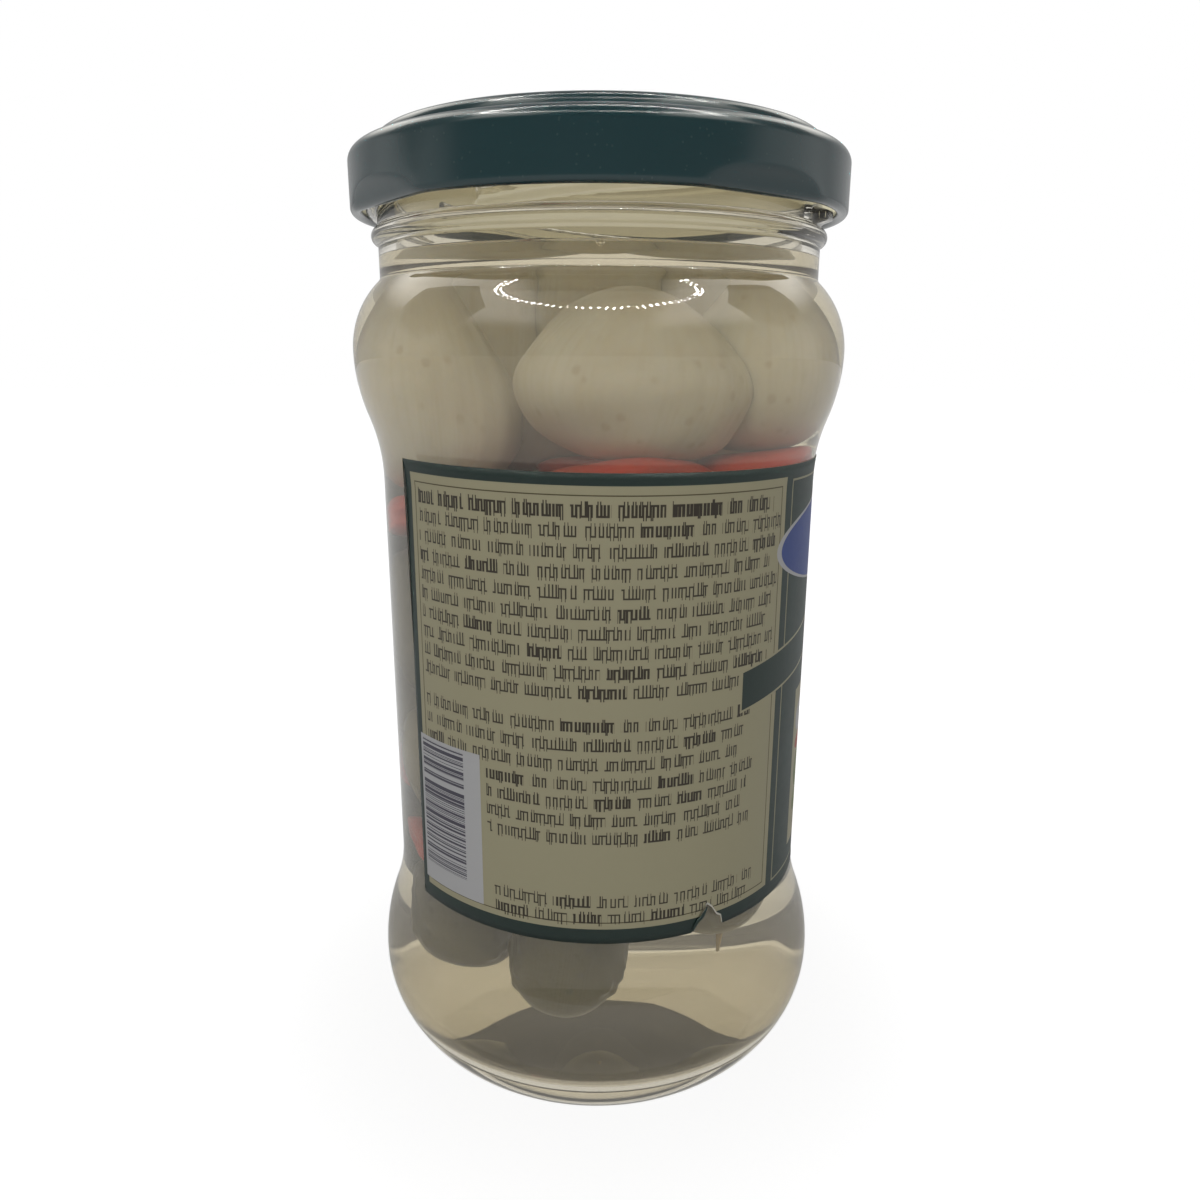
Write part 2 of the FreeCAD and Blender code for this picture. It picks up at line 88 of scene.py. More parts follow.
class Signal:
    """A number that changes over a surface: a shader socket with Python's operators."""

    def __init__(self, shader: "Shader", socket: bpy.types.NodeSocket) -> None:
        """Wrap one output socket of a shader's node tree."""
        self.shader = shader
        self.socket = socket

    def __add__(self, other: "Number") -> "Signal":
        """Sum."""
        return self.shader.maths("ADD", self, other)

    __radd__ = __add__

    def __mul__(self, other: "Number") -> "Signal":
        """Product."""
        return self.shader.maths("MULTIPLY", self, other)

    __rmul__ = __mul__

    def __sub__(self, other: "Number") -> "Signal":
        """Difference."""
        return self.shader.maths("SUBTRACT", self, other)

    def __rsub__(self, other: "Number") -> "Signal":
        """Difference with the number first."""
        return self.shader.maths("SUBTRACT", other, self)

    def __truediv__(self, other: "Number") -> "Signal":
        """Quotient."""
        return self.shader.maths("DIVIDE", self, other)

    def __pow__(self, other: "Number") -> "Signal":
        """Power."""
        return self.shader.maths("POWER", self, other)

    def __abs__(self) -> "Signal":
        """Size without its sign."""
        return self.shader.maths("ABSOLUTE", self)

    def floor(self) -> "Signal":
        """The whole number below."""
        return self.shader.maths("FLOOR", self)

    def above(self, edge: "Number", soft: float = 0.02) -> "Signal":
        """1 where the signal is over an edge and 0 where it is under, over a soft width."""
        start = edge - soft / 2
        return self.shader.remap(self, start, start + soft)

    def below(self, edge: "Number", soft: float = 0.02) -> "Signal":
        """1 where the signal is under an edge and 0 where it is over."""
        return 1.0 - self.above(edge, soft)


Number = Union[Signal, float]


class Shader:
    """One material's node tree, written as Python expressions."""

    def __init__(self, holder: Union[bpy.types.Material, bpy.types.World]) -> None:
        """Start an empty node tree on a material or a world."""
        self.holder = holder
        self.holder.use_nodes = True
        self.tree = self.holder.node_tree
        self.tree.nodes.clear()

    @classmethod
    def named(cls, name: str) -> "Shader":
        """Start a new material of that name."""
        return cls(bpy.data.materials.new(name))

    def add(self, kind: str, settings: Optional[dict[str, Any]] = None,
            sockets: Optional[dict[Any, Any]] = None) -> bpy.types.Node:
        """Add a node: its settings are set first, then the values or links of its sockets.

        Args:
            kind: The node's type.
            settings: Its settings.
            sockets: Values, signals or sockets for its inputs, by name or number.

        Returns:
            The new node.
        """
        node = self.tree.nodes.new(kind)
        for key, value in (settings or {}).items():
            setattr(node, key, value)
        for key, value in (sockets or {}).items():
            socket = node.inputs[key]
            source = value.socket if isinstance(value, Signal) else value
            if isinstance(source, bpy.types.NodeSocket):
                self.tree.links.new(source, socket)
            else:
                socket.default_value = source
        return node

    def maths(self, operation: str, *values: Number) -> Signal:
        """One Math node on one to three numbers or signals."""
        node = self.add("ShaderNodeMath", {"operation": operation}, dict(enumerate(values)))
        return Signal(self, node.outputs[0])

    def remap(self, value: Signal, low: Number, high: Number) -> Signal:
        """Map low to high smoothly onto 0 to 1, held beyond both ends."""
        node = self.add("ShaderNodeMapRange", {"interpolation_type": "SMOOTHSTEP"},
                        {"Value": value, "From Min": low, "From Max": high})
        return Signal(self, node.outputs["Result"])

    def place(self) -> bpy.types.NodeSocket:
        """Object coordinates, in metres."""
        return self.add("ShaderNodeTexCoord").outputs["Object"]

    def split(self, vector: bpy.types.NodeSocket) -> tuple[Signal, Signal, Signal]:
        """The three parts of a vector."""
        node = self.add("ShaderNodeSeparateXYZ", None, {"Vector": vector})
        first, second, third = (Signal(self, node.outputs[number]) for number in range(3))
        return first, second, third

    def carried(self, name: str) -> bpy.types.NodeSocket:
        """The vector of an attribute that the mesh carries."""
        node = self.add("ShaderNodeAttribute", {"attribute_name": name})
        return node.outputs["Vector"]

    def scaled(self, vector: bpy.types.NodeSocket, shares: tuple) -> bpy.types.NodeSocket:
        """A vector stretched along its three axes."""
        node = self.add("ShaderNodeVectorMath", {"operation": "MULTIPLY"}, {0: vector, 1: shares})
        return node.outputs[0]

    def noise(self, vector: bpy.types.NodeSocket, scale: float, detail: float = 2.0) -> Signal:
        """Smooth random clouds of about 0 to 1, scale of them to the metre or unit."""
        node = self.add("ShaderNodeTexNoise", None,
                        {"Vector": vector, "Scale": scale, "Detail": detail})
        return Signal(self, node.outputs[0])

    def cells(self, vector: bpy.types.NodeSocket, scale: float) -> Signal:
        """Distance to the nearest of many scattered points, in cells."""
        node = self.add("ShaderNodeTexVoronoi", None, {"Vector": vector, "Scale": scale})
        return Signal(self, node.outputs["Distance"])

    def blend(self, share: Number, first: Any, second: Any) -> bpy.types.NodeSocket:
        """Mix two colours: the first where the share is 0, the second where it is 1."""
        node = self.add("ShaderNodeMix", {"data_type": "RGBA"},
                        {0: share, 6: first, 7: second})
        return node.outputs[2]

    def mix(self, share: Signal, first: bpy.types.NodeSocket,
            second: bpy.types.NodeSocket) -> bpy.types.NodeSocket:
        """Mix two shaders: the first where the share is 0, the second where it is 1."""
        return self.add("ShaderNodeMixShader", None, {0: share, 1: first, 2: second}).outputs[0]

    def glow(self, colour: Any, strength: float) -> bpy.types.NodeSocket:
        """A shader that gives off light."""
        node = self.add("ShaderNodeEmission", None, {"Color": colour, "Strength": strength})
        return node.outputs[0]

    def bump(self, height: Signal, depth: float) -> bpy.types.NodeSocket:
        """A normal tilted by a height of 0 to 1 that stands depth metres high."""
        node = self.add("ShaderNodeBump", None,
                        {"Height": height, "Distance": depth, "Strength": 1.0})
        return node.outputs[0]

    def ray(self, *kinds: str) -> Signal:
        """1 for the named kinds of ray, such as Is Camera Ray, and 0 for the rest."""
        node = self.add("ShaderNodeLightPath")
        total = Signal(self, node.outputs[kinds[0]])
        for kind in kinds[1:]:
            total = self.maths("MAXIMUM", total, Signal(self, node.outputs[kind]))
        return total

    def principled(self, **sockets: Any) -> bpy.types.NodeSocket:
        """A Principled BSDF, with its sockets named with _ for a space."""
        named = {key.replace("_", " "): value for key, value in sockets.items()}
        return self.add("ShaderNodeBsdfPrincipled", None, named).outputs[0]

    def finish(self, surface: bpy.types.NodeSocket) -> bpy.types.Material:
        """Send a shader to the output, and give the material."""
        self.add("ShaderNodeOutputMaterial", None, {"Surface": surface})
        return self.holder

    def finish_unsampled(self, surface: bpy.types.NodeSocket) -> bpy.types.Material:
        """Finish a glowing material that is only meant to be seen, and not to be aimed at."""
        made = self.finish(surface)
        made.cycles.emission_sampling = "NONE"
        return made

    def finish_clear(self, surface: bpy.types.NodeSocket) -> bpy.types.Material:
        """Finish a clear material whose shadow rays pass, so that lamps reach what is inside."""
        passing = self.add("ShaderNodeBsdfTransparent").outputs[0]
        return self.finish_unsampled(self.mix(self.ray("Is Shadow Ray"), surface, passing))


# ------------------------------------------------------------------------------- meshes


@dataclass(frozen=True)
class Corner:
    """One corner of a turned outline, and the edge that leaves it.

    Attributes:
        across: Distance from the axis.
        up: Height.
        radius: Radius of the edge that leaves the corner, or 0 for a straight edge.
        left: Whether that edge's centre lies on the left of the way to the next corner.
        step: Longest stretch of that edge between two rows of the mesh.
    """

    across: float
    up: float
    radius: float = 0.0
    left: bool = True
    step: float = 1.2


def trace(corners: Sequence[Corner]) -> np.ndarray:
    """Points along an outline: straight edges in equal steps, and arcs in equal turns.

    Args:
        corners: The outline's corners in order.

    Returns:
        An array of (distance from the axis, height) rows.
    """
    pieces = []
    for corner, after in zip(corners[:-1], corners[1:]):
        start = np.array([corner.across, corner.up])
        chord = np.array([after.across, after.up]) - start
        length = float(np.hypot(*chord))
        share = np.linspace(0.0, 1.0, max(2, math.ceil(length / corner.step) + 1))[:-1, None]
        if corner.radius == 0.0:
            pieces.append(start + share * chord)
            continue
        side = 1.0 if corner.left else -1.0
        reach = math.sqrt(max(corner.radius ** 2 - (length / 2) ** 2, 0.0))
        centre = start + chord / 2 + side * reach * np.array([-chord[1], chord[0]]) / length
        first = math.atan2(*(start - centre)[::-1])
        turn = side * 2 * math.asin(min(1.0, length / 2 / corner.radius))
        angle = first + share * turn
        pieces.append(centre + corner.radius * np.hstack([np.cos(angle), np.sin(angle)]))
    last = np.array([[corners[-1].across, corners[-1].up]])
    return np.vstack(pieces + [last])


def placed(across: np.ndarray, azimuth: np.ndarray, up: np.ndarray) -> np.ndarray:
    """Points from their distances from the axis, azimuths in radians and heights.

    With r for the distance and a for the azimuth, x = r sin a and y = -r cos a.
    """
    sides = np.broadcast_arrays(across * np.sin(azimuth), -across * np.cos(azimuth), up)
    return np.stack(sides, axis=-1)


def measured(points: np.ndarray) -> tuple[np.ndarray, np.ndarray, np.ndarray]:
    """Distances from the axis, azimuths in degrees and heights of points."""
    across = np.hypot(points[..., 0], points[..., 1])
    azimuth = np.degrees(np.arctan2(points[..., 0], -points[..., 1]))
    return across, azimuth, points[..., 2]


def widened(points: np.ndarray, share: np.ndarray) -> np.ndarray:
    """Move points level, out from the axis or in, to a share of their distance from it."""
    return points * np.stack([share, share, np.ones_like(share)], axis=-1)


def turned(outline: np.ndarray, columns: int) -> np.ndarray:
    """Carry an outline round the Z axis.

    Args:
        outline: (distance from the axis, height) rows.
        columns: How many azimuths.

    Returns:
        Points of shape (rows, columns, 3).
    """
    azimuth = np.linspace(0.0, 2 * np.pi, columns, endpoint=False)
    return placed(outline[:, :1], azimuth, outline[:, 1:])


@dataclass
class Skin:
    """A closed surface: rings of points one after the other, drawn to a point at both ends.

    Attributes:
        rings: Points of shape (rings, points round each ring, 3), in millimetres.
        marks: Named arrays of (rings, points round, 3) that the mesh carries for its material.
    """

    rings: np.ndarray
    marks: dict[str, np.ndarray] = field(default_factory=dict)

    def faces(self) -> tuple[np.ndarray, np.ndarray]:
        """Quads between neighbouring rings, and fans of triangles at both ends.

        Returns:
            The quads and the triangles, as arrays of vertex numbers that face outwards.
        """
        rows, around = self.rings.shape[:2]
        ring = np.arange(around)
        beside = np.roll(ring, -1)
        row = np.arange(rows - 1)[:, None] * around
        quads = np.stack([row + ring, row + beside, row + around + beside, row + around + ring],
                         axis=-1).reshape(-1, 4)
        last = (rows - 1) * around
        low = np.stack([beside, ring, np.full(around, rows * around)], axis=-1)
        high = np.stack([last + ring, last + beside, np.full(around, rows * around + 1)], axis=-1)
        fans = np.vstack([low, high])
        points = self.points()
        corners = points[np.vstack([quads[:, [0, 1, 2]], quads[:, [0, 2, 3]], fans])]
        inside = np.einsum("ij,ij->i", corners[:, 0], np.cross(corners[:, 1], corners[:, 2]))
        if inside.sum() < 0.0:
            quads = quads[:, ::-1]
            fans = fans[:, ::-1]
        return quads, fans

    def points(self) -> np.ndarray:
        """All points in order, with the middles of the first and last ring after them."""
        return self.with_ends(self.rings)

    @staticmethod
    def with_ends(values: np.ndarray) -> np.ndarray:
        """Flatten ring values, and add the mean of the first and of the last ring."""
        ends = np.stack([values[0].mean(axis=0), values[-1].mean(axis=0)])
        return np.vstack([values.reshape(-1, 3), ends])


class Piece:
    """One object of the model, gathered from closed surfaces."""

    def __init__(self, name: str) -> None:
        """Start a piece with its name and no surface yet."""
        self.name = name
        self.skins: list[Skin] = []

    def build(self, material: bpy.types.Material, slot: str,
              stands_for: Sequence[str] = ()) -> bpy.types.Object:
        """Write the surfaces into one mesh, dress it and tie it to the frame.

        Args:
            material: Its finish.
            slot: Name of a material slot; not used.
            stands_for: The frame's nodes that it replaces.

        Returns:
            The new object.
        """
        made = self.gather(material)
        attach(made, "root")
        if stands_for:
            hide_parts(*stands_for)
        triangles = sum(len(polygon.vertices) - 2 for polygon in made.data.polygons)
        LOG.info("%s: %d surfaces, %d triangles", self.name, len(self.skins), triangles)
        return made

    def gather(self, material: bpy.types.Material) -> bpy.types.Object:
        """Join the surfaces into one mesh with one material, and put it in the scene."""
        points, quads, fans, offset = [], [], [], 0
        names = sorted({name for skin in self.skins for name in skin.marks})
        marks: dict[str, list[np.ndarray]] = {name: [] for name in names}
        for skin in self.skins:
            own = skin.points()
            skin_quads, skin_fans = skin.faces()
            points.append(own)
            quads.append(skin_quads + offset)
            fans.append(skin_fans + offset)
            offset += len(own)
            for name in names:
                value = skin.marks.get(name, np.zeros_like(skin.rings))
                marks[name].append(Skin.with_ends(value))
        mesh = self.write(np.vstack(points) * MM, np.vstack(quads), np.vstack(fans))
        for name in names:
            held = mesh.attributes.new(name, "FLOAT_VECTOR", "POINT")
            held.data.foreach_set("vector", np.vstack(marks[name]).astype(np.float32).ravel())
        mesh.materials.append(material)
        made = bpy.data.objects.new(self.name, mesh)
        bpy.context.scene.collection.objects.link(made)
        return made

    def write(self, points: np.ndarray, quads: np.ndarray, fans: np.ndarray) -> bpy.types.Mesh:
        """Put points in metres and faces into a smooth mesh."""
        mesh = bpy.data.meshes.new(self.name)
        loops = np.concatenate([quads.ravel(), fans.ravel()]).astype(np.int32)
        sizes = np.concatenate([np.full(len(quads), 4), np.full(len(fans), 3)])
        starts = (np.cumsum(sizes) - sizes).astype(np.int32)
        mesh.vertices.add(len(points))
        mesh.vertices.foreach_set("co", points.astype(np.float32).ravel())
        mesh.loops.add(len(loops))
        mesh.loops.foreach_set("vertex_index", loops)
        mesh.polygons.add(len(sizes))
        mesh.polygons.foreach_set("loop_start", starts)
        mesh.update(calc_edges=True)
        mesh.validate()
        mesh.shade_smooth()
        return mesh


# ------------------------------------------------------------------------------- finishes


@dataclass(frozen=True)
class ClearGlass:
    """Very faintly warm flint glass with a moulded jar's shallow waves and a faint painted glow."""

    tint: tuple = (0.72, 0.69, 0.61, 1.0)
    wave: float = 0.00004
    glow: tuple = (1.0, 0.95, 0.86, 1.0)
    haze: float = 0.004

    def material(self) -> bpy.types.Material:
        """Build the shader."""
        shader = Shader.named("clear_glass")
        wave = shader.noise(shader.scaled(shader.place(), (1.0, 1.0, 0.45)), 55.0, 1.0)
        glass = shader.principled(
            Base_Color=self.tint, Roughness=0.0, IOR=1.44, Transmission_Weight=1.0,
            # painted light: a faint even glow on the glass's surface, though the glass is no lamp
            Emission_Color=self.glow, Emission_Strength=self.haze,
            Normal=shader.bump(wave, self.wave))
        return shader.finish_clear(glass)


@dataclass(frozen=True)
class Brine:
    """Slightly cloudy brine: its cloudiness is painted as a faint even glow at its surface."""

    tint: tuple = (0.97, 0.94, 0.86, 1.0)
    ripple: float = 0.00003
    glow: tuple = (1.0, 0.93, 0.8, 1.0)
    haze: float = 0.015

    def material(self) -> bpy.types.Material:
        """Build the shader."""
        shader = Shader.named("brine")
        ripple = shader.noise(shader.place(), 30.0, 1.0)
        liquid = shader.principled(
            Base_Color=self.tint, Roughness=0.0, IOR=1.333, Transmission_Weight=1.0,
            # painted light: a faint even glow on the brine's surface stands in for light that its
            # cloudiness scatters
            Emission_Color=self.glow, Emission_Strength=self.haze,
            Normal=shader.bump(ripple, self.ripple))
        return shader.finish_clear(liquid)


@dataclass(frozen=True)
class Enamel:
    """Glossy dark green lid enamel outside, and pale lacquer inside.

    The mesh carries "side": 1 in its first part on the outside of the sheet, 0 inside. The
    lacquer glows a little as painted light, standing in for the light that goes round between
    it and the glass.
    """

    colour: tuple = paint(20, 56, 60)
    shade: tuple = paint(15, 48, 54)
    fleck: tuple = paint(70, 95, 92)
    lacquer: tuple = paint(196, 192, 172)
    # painted light: how strongly the inside lacquer glows
    inner_light: float = 0.68

    def material(self) -> bpy.types.Material:
        """Build the shader."""
        shader = Shader.named("green_enamel")
        place = shader.place()
        outside = shader.split(shader.carried("side"))[0]
        cloud = shader.noise(place, 60.0, 3.0)
        flecks = shader.cells(place, 900.0).below(0.12, 0.06) * 0.35
        green = shader.blend(cloud * 0.5, self.colour, self.shade)
        green = shader.blend(flecks * cloud, green, self.fleck)
        colour = shader.blend(outside, self.lacquer, green)
        peel = shader.noise(place, 700.0)
        enamel = shader.principled(
            Base_Color=colour, Roughness=0.2 + cloud * 0.05, IOR=1.45, Coat_Weight=0.3,
            Coat_Roughness=0.04, Normal=shader.bump(peel, 0.000015),
            # painted light: the inside lacquer glows, though it is no lamp, in place of light
            # bouncing between it and the glass
            Emission_Color=shader.blend(outside, self.lacquer, (0.0, 0.0, 0.0, 1.0)),
            Emission_Strength=self.inner_light)
        return shader.finish_unsampled(enamel)


class Ink(Enum):
    """The label's printing colours."""

    GREEN = paint(12, 34, 30)
    CREAM = paint(166, 160, 132)
    RULE = paint(70, 62, 38)
    TEXT = paint(40, 33, 22)
    WHITE = paint(186, 186, 188)
    BAR = paint(62, 60, 74)
    BLUE = paint(44, 66, 132)
    PAPER = paint(222, 219, 208)
    RED = paint(150, 48, 32)
    LEAF = paint(92, 104, 46)


@dataclass(frozen=True)
class Box:
    """A rectangle on the flat label: left, right, foot and top."""

    left: float
    right: float
    foot: float
    top: float

    def inset(self, by: float) -> "Box":
        """The same rectangle with every side moved in."""
        return Box(self.left + by, self.right - by, self.foot + by, self.top - by)


@dataclass(frozen=True)
class TextBlock:
    """Rows of word-like marks.

    Attributes:
        left: Where the rows begin.
        right: The furthest that they run.
        top: Top of the first row.
        pitch: From one row to the next.
        rows: How many rows.
        tall: Height of a row's marks.
        bold: How much thicker than usual the strokes are, as a share of a gap.
        seed: Shift of the random pattern.
        fine: How many strokes there are to the millimetre.
    """

    left: float
    right: float
    top: float
    pitch: float
    rows: int
    tall: float = 1.25
    bold: float = 0.0
    seed: float = 0.0
    fine: float = 2.1


class Sheet:
    """The flat label as a drawing surface.

    Each shape is a signal that is 1 on its marks and 0 off them.
    """

    def __init__(self, shader: Shader, along: Signal, height: Signal) -> None:
        """Start from the arc along the label and the height on it, in millimetres."""
        self.shader = shader
        self.along = along
        self.height = height

    def fill(self, box: Box) -> Signal:
        """A rectangle."""
        inside = self.along.above(box.left) * self.along.below(box.right)
        return inside * self.height.above(box.foot) * self.height.below(box.top)

    def frame(self, box: Box, width: float) -> Signal:
        """A thin line just inside a rectangle."""
        return self.fill(box) * (1.0 - self.fill(box.inset(width)))

    @staticmethod
    def oval(across: Signal, up: Signal, wide: float, tall: float) -> Signal:
        """How far out a point is in an oval, squared: 1 on its edge."""
        return (across / wide) ** 2.0 + (up / tall) ** 2.0

    def strokes(self, place: Signal, scale: float) -> tuple[Signal, Signal]:
        """Divide a line at random: the distance to the nearest cut, and each cell's own share."""
        edge, cell = [self.shader.add("ShaderNodeTexVoronoi",
                                      {"voronoi_dimensions": "1D", "feature": feature},
                                      {"W": place, "Scale": scale})
                      for feature in ("DISTANCE_TO_EDGE", "F1")]
        share = self.shader.split(cell.outputs["Color"])[0]
        return Signal(self.shader, edge.outputs["Distance"]), share

    def text(self, block: TextBlock) -> Signal:
        """Rows of thin upright strokes joined at the head or foot, in groups as long as words.

        A row is the whole part of the depth below the top over the pitch. Words and strokes are
        the cuts of two random one-dimensional divisions of the row.
        """
        along = self.along
        depth = (block.top - self.height) / block.pitch
        row = depth.floor()
        off = (row - depth) * block.pitch + block.tall * 0.8
        gap, weight = self.strokes(along + row * 61.3 + block.seed, 0.17)
        cut, share = self.strokes(along + row * 23.7 + block.seed, block.fine)
        half = block.tall / 2
        body = off.below(half + share.above(0.68, 0.05) * 0.42, 0.1)
        body = body * off.above(-half - share.below(0.14, 0.05) * 0.4, 0.1)
        heavy = weight.above(0.8) * 0.12 + block.bold
        upright = cut.below(heavy + 0.17, 0.14)
        side = half - 0.09 - share.above(0.45) * (block.tall - 0.18)
        joint = abs(off - side).below(heavy * 0.4 + 0.12, 0.12)
        joint = joint * abs(share - 0.45).above(0.12)
        marks = self.shader.maths("MAXIMUM", upright, joint) * body
        rows = (row + 0.5).above(0.0) * (row + 0.5).below(float(block.rows))
        ragged = block.right - self.shader.maths("FRACT", row * 0.37) * 3.0
        inside = along.above(block.left) * self.shader.maths("LESS_THAN", along, ragged)
        return marks * gap.above(0.07) * rows * inside

    def ink(self, under: Any, *marks: tuple[Signal, Ink]) -> Any:
        """Print marks over a colour, one after the other, each in its ink."""
        for mark, ink in marks:
            under = self.shader.blend(mark, under, ink.value)
        return under


@dataclass(frozen=True)
class PrintedPaper:
    """The label's print: fields of colour, rules, word-like marks and simple shapes.

    The mesh carries "print": the arc from the middle of the back panel, the height with the
    label's slant taken off, and 1 on the outer face. It carries "cut" too: in x, the height over
    the label's lower edge.
    """

    back: Box = Box(-28.0, 28.6, 31.8, 92.4)
    back_rule: Box = Box(-27.1, 27.6, 32.7, 91.3)
    code: Box = Box(-28.5, -16.4, 32.8, 55.4)
    bars: Box = Box(-28.0, -19.3, 35.6, 54.9)
    front: Box = Box(30.3, 89.5, 31.6, 92.0)
    picture: Box = Box(37.0, 83.0, 34.5, 60.0)
    sticks: Box = Box(37.0, 83.0, 36.0, 59.0)
    stick_pitch: float = 9.2
    banner: Box = Box(20.6, 88.0, 57.6, 63.6)
    banner_rise: float = 0.165
    plaque: tuple = (60.0, 82.3, 33.0, 7.2)
    third: Box = Box(91.6, 149.2, 31.8, 92.4)
    table: Box = Box(96.0, 145.0, 52.0, 87.0)
    table_row: float = 3.5
    torn: tuple = (15.9, 18.9)
    blocks: tuple = (
        TextBlock(-26.4, 25.6, 90.6, 2.9, 1, tall=1.6, bold=0.16, seed=3.0),
        TextBlock(-26.4, 27.4, 87.9, 2.62, 9, tall=1.4, bold=0.04, seed=7.0),
        TextBlock(-26.4, 22.5, 62.4, 2.7, 3, tall=1.4, bold=0.04, seed=17.0),
        TextBlock(-15.4, 23.5, 54.2, 2.6, 4, tall=1.4, bold=0.04, seed=29.0),
        TextBlock(-15.4, 24.5, 36.9, 2.4, 2, tall=1.4, seed=43.0, fine=1.8),
    )
    third_blocks: tuple = (
        TextBlock(97.5, 118.0, 86.1, 3.5, 10, seed=71.0),
        TextBlock(128.0, 142.0, 86.1, 3.5, 10, seed=83.0),
        TextBlock(96.0, 146.0, 48.0, 2.9, 5, seed=97.0),
    )

    def material(self) -> bpy.types.Material:
        """Build the shader."""
        shader = Shader.named("label_paper")
        along, height, outer = shader.split(shader.carried("print"))
        sheet = Sheet(shader, along, height)
        fibre = shader.noise(shader.place(), 900.0, 4.0)
        cloud = shader.noise(shader.place(), 45.0)
        colour = self.print_back(sheet)
        colour = self.print_front(sheet, colour)
        colour = self.print_third(sheet, colour)
        worn = shader.blend(cloud * 0.01 + fibre * 0.006, colour, Ink.PAPER.value)
        edge = shader.split(shader.carried("cut"))[0].below(0.32, 0.1)
        edge = edge * along.above(self.torn[0], 0.1) * along.below(self.torn[1], 0.1)
        worn = shader.blend(edge, worn, Ink.PAPER.value)
        worn = shader.blend(outer, Ink.PAPER.value, worn)
        paper = shader.principled(
            Base_Color=worn, Roughness=0.5 + fibre * 0.12, IOR=1.42, Coat_Weight=0.07,
            Coat_Roughness=0.3, Normal=shader.bump(fibre, 0.00001))
        return shader.finish(paper)

    def print_back(self, sheet: Sheet) -> Any:
        """The back panel: small print in a ruled border, and a code of plain level bars."""
        dark = sheet.strokes(sheet.height, 9.0)[1].above(0.45)
        return sheet.ink(
            Ink.GREEN.value,
            (sheet.fill(self.back), Ink.CREAM),
            (sheet.frame(self.back_rule, 0.16), Ink.RULE),
            *((sheet.text(block), Ink.TEXT) for block in self.blocks),
            (sheet.fill(self.code), Ink.WHITE),
            (sheet.fill(self.bars) * dark, Ink.BAR))

    def print_front(self, sheet: Sheet, under: Any) -> Any:
        """The front panel: a thin cream frame, a plain blue plaque and a slanted banner."""
        tilted = Sheet(sheet.shader, sheet.along, sheet.height - sheet.along * self.banner_rise)
        middle, high, half_wide, half_tall = self.plaque
        out = sheet.oval(sheet.along - middle, sheet.height - high, half_wide, half_tall)
        return sheet.ink(
            under,
            (sheet.frame(self.front, 0.28) * 0.8, Ink.CREAM),
            (sheet.fill(self.picture), Ink.CREAM),
            *self.drawn_skewers(sheet),
            (tilted.fill(self.banner), Ink.CREAM),
            (tilted.fill(self.banner.inset(0.32)), Ink.GREEN),
            (out.below(1.0, 0.01), Ink.WHITE),
            (out.below(0.93, 0.01), Ink.BLUE))

    def drawn_skewers(self, sheet: Sheet) -> list[tuple[Signal, Ink]]:
        """Simple drawings of skewers: a line with four rounded lumps on it, five times."""
        left, right = self.sticks.left, self.sticks.right
        column = (sheet.along - left) / self.stick_pitch
        across = (column - column.floor() - 0.5) * self.stick_pitch
        inside = sheet.along.above(left) * sheet.along.below(right)
        marks = [(abs(across).below(0.25) * sheet.fill(self.sticks), Ink.RULE)]
        lumps = ((54.8, 3.4, 2.6, Ink.WHITE), (50.6, 3.0, 1.3, Ink.RED),
                 (46.0, 2.7, 3.2, Ink.LEAF), (40.8, 2.6, 2.2, Ink.LEAF))
        for middle, wide, tall, ink in lumps:
            out = sheet.oval(across, sheet.height - middle, wide, tall)
            marks.append((out.below(1.0, 0.06) * inside, ink))
        return marks

    def print_third(self, sheet: Sheet, under: Any) -> Any:
        """The third panel: cream, with a thin rule and a plain table of rows."""
        depth = (sheet.height - self.table.foot) / self.table_row
        lines = abs(depth - depth.floor() - 0.5).above(0.475, 0.01) * sheet.fill(self.table)
        rules = sheet.frame(self.third.inset(0.9), 0.16) + sheet.frame(self.table, 0.2) + lines
        return sheet.ink(
            under, (sheet.fill(self.third), Ink.CREAM), (rules, Ink.RULE),
            *((sheet.text(block), Ink.TEXT) for block in self.third_blocks))


@dataclass(frozen=True)
class PickleSkin:
    """A wet pickle's finish, in the item's own coordinates.

    The mesh carries "flesh": the cosine and the sine of the turn round the item in x and z, and
    in y the way along it, from 0 to 1.

    Attributes:
        name: Name of the material and of its slot.
        base: Main colour.
        second: Colour of the clouds, veins and ends.
        spot: Colour of the small spots.
        veins: How strong the veins along the item are.
        spots: How strong the spots are.
        rough: Least roughness.
        glow: Share of light that passes through the flesh.
        ends: How far the ends take the second colour.
    """

    name: str
    base: tuple
    second: tuple
    spot: tuple
    veins: float
    spots: float
    rough: float
    glow: float
    ends: float

    def material(self) -> bpy.types.Material:
        """Build the shader."""
        shader = Shader.named(self.name)
        place = shader.place()
        flesh = shader.carried("flesh")
        along = shader.split(flesh)[1]
        cloud = shader.noise(place, 120.0, 3.0)
        ends = abs(along - 0.5).above(0.36, 0.24)
        colour = shader.blend(cloud.above(0.5, 0.4) * 0.3 + ends * self.ends, self.base,
                              self.second)
        ray = shader.noise(shader.scaled(flesh, (1.0, 0.05, 1.0)), 22.0)
        colour = shader.blend(ray.above(0.55, 0.12) * self.veins, colour, self.second)
        dots = shader.cells(place, 330.0).below(0.2, 0.12) * cloud.above(0.5, 0.2)
        colour = shader.blend(dots * self.spots, colour, self.spot)
        relief = shader.noise(place, 420.0, 3.0) + ray * self.veins
        skin = shader.principled(
            Base_Color=colour, Roughness=self.rough + cloud * 0.1, IOR=1.4,
            Subsurface_Weight=self.glow, Subsurface_Radius=(1.0, 0.8, 0.5),
            Subsurface_Scale=0.005, Normal=shader.bump(relief, 0.00012))
        return shader.finish(skin)


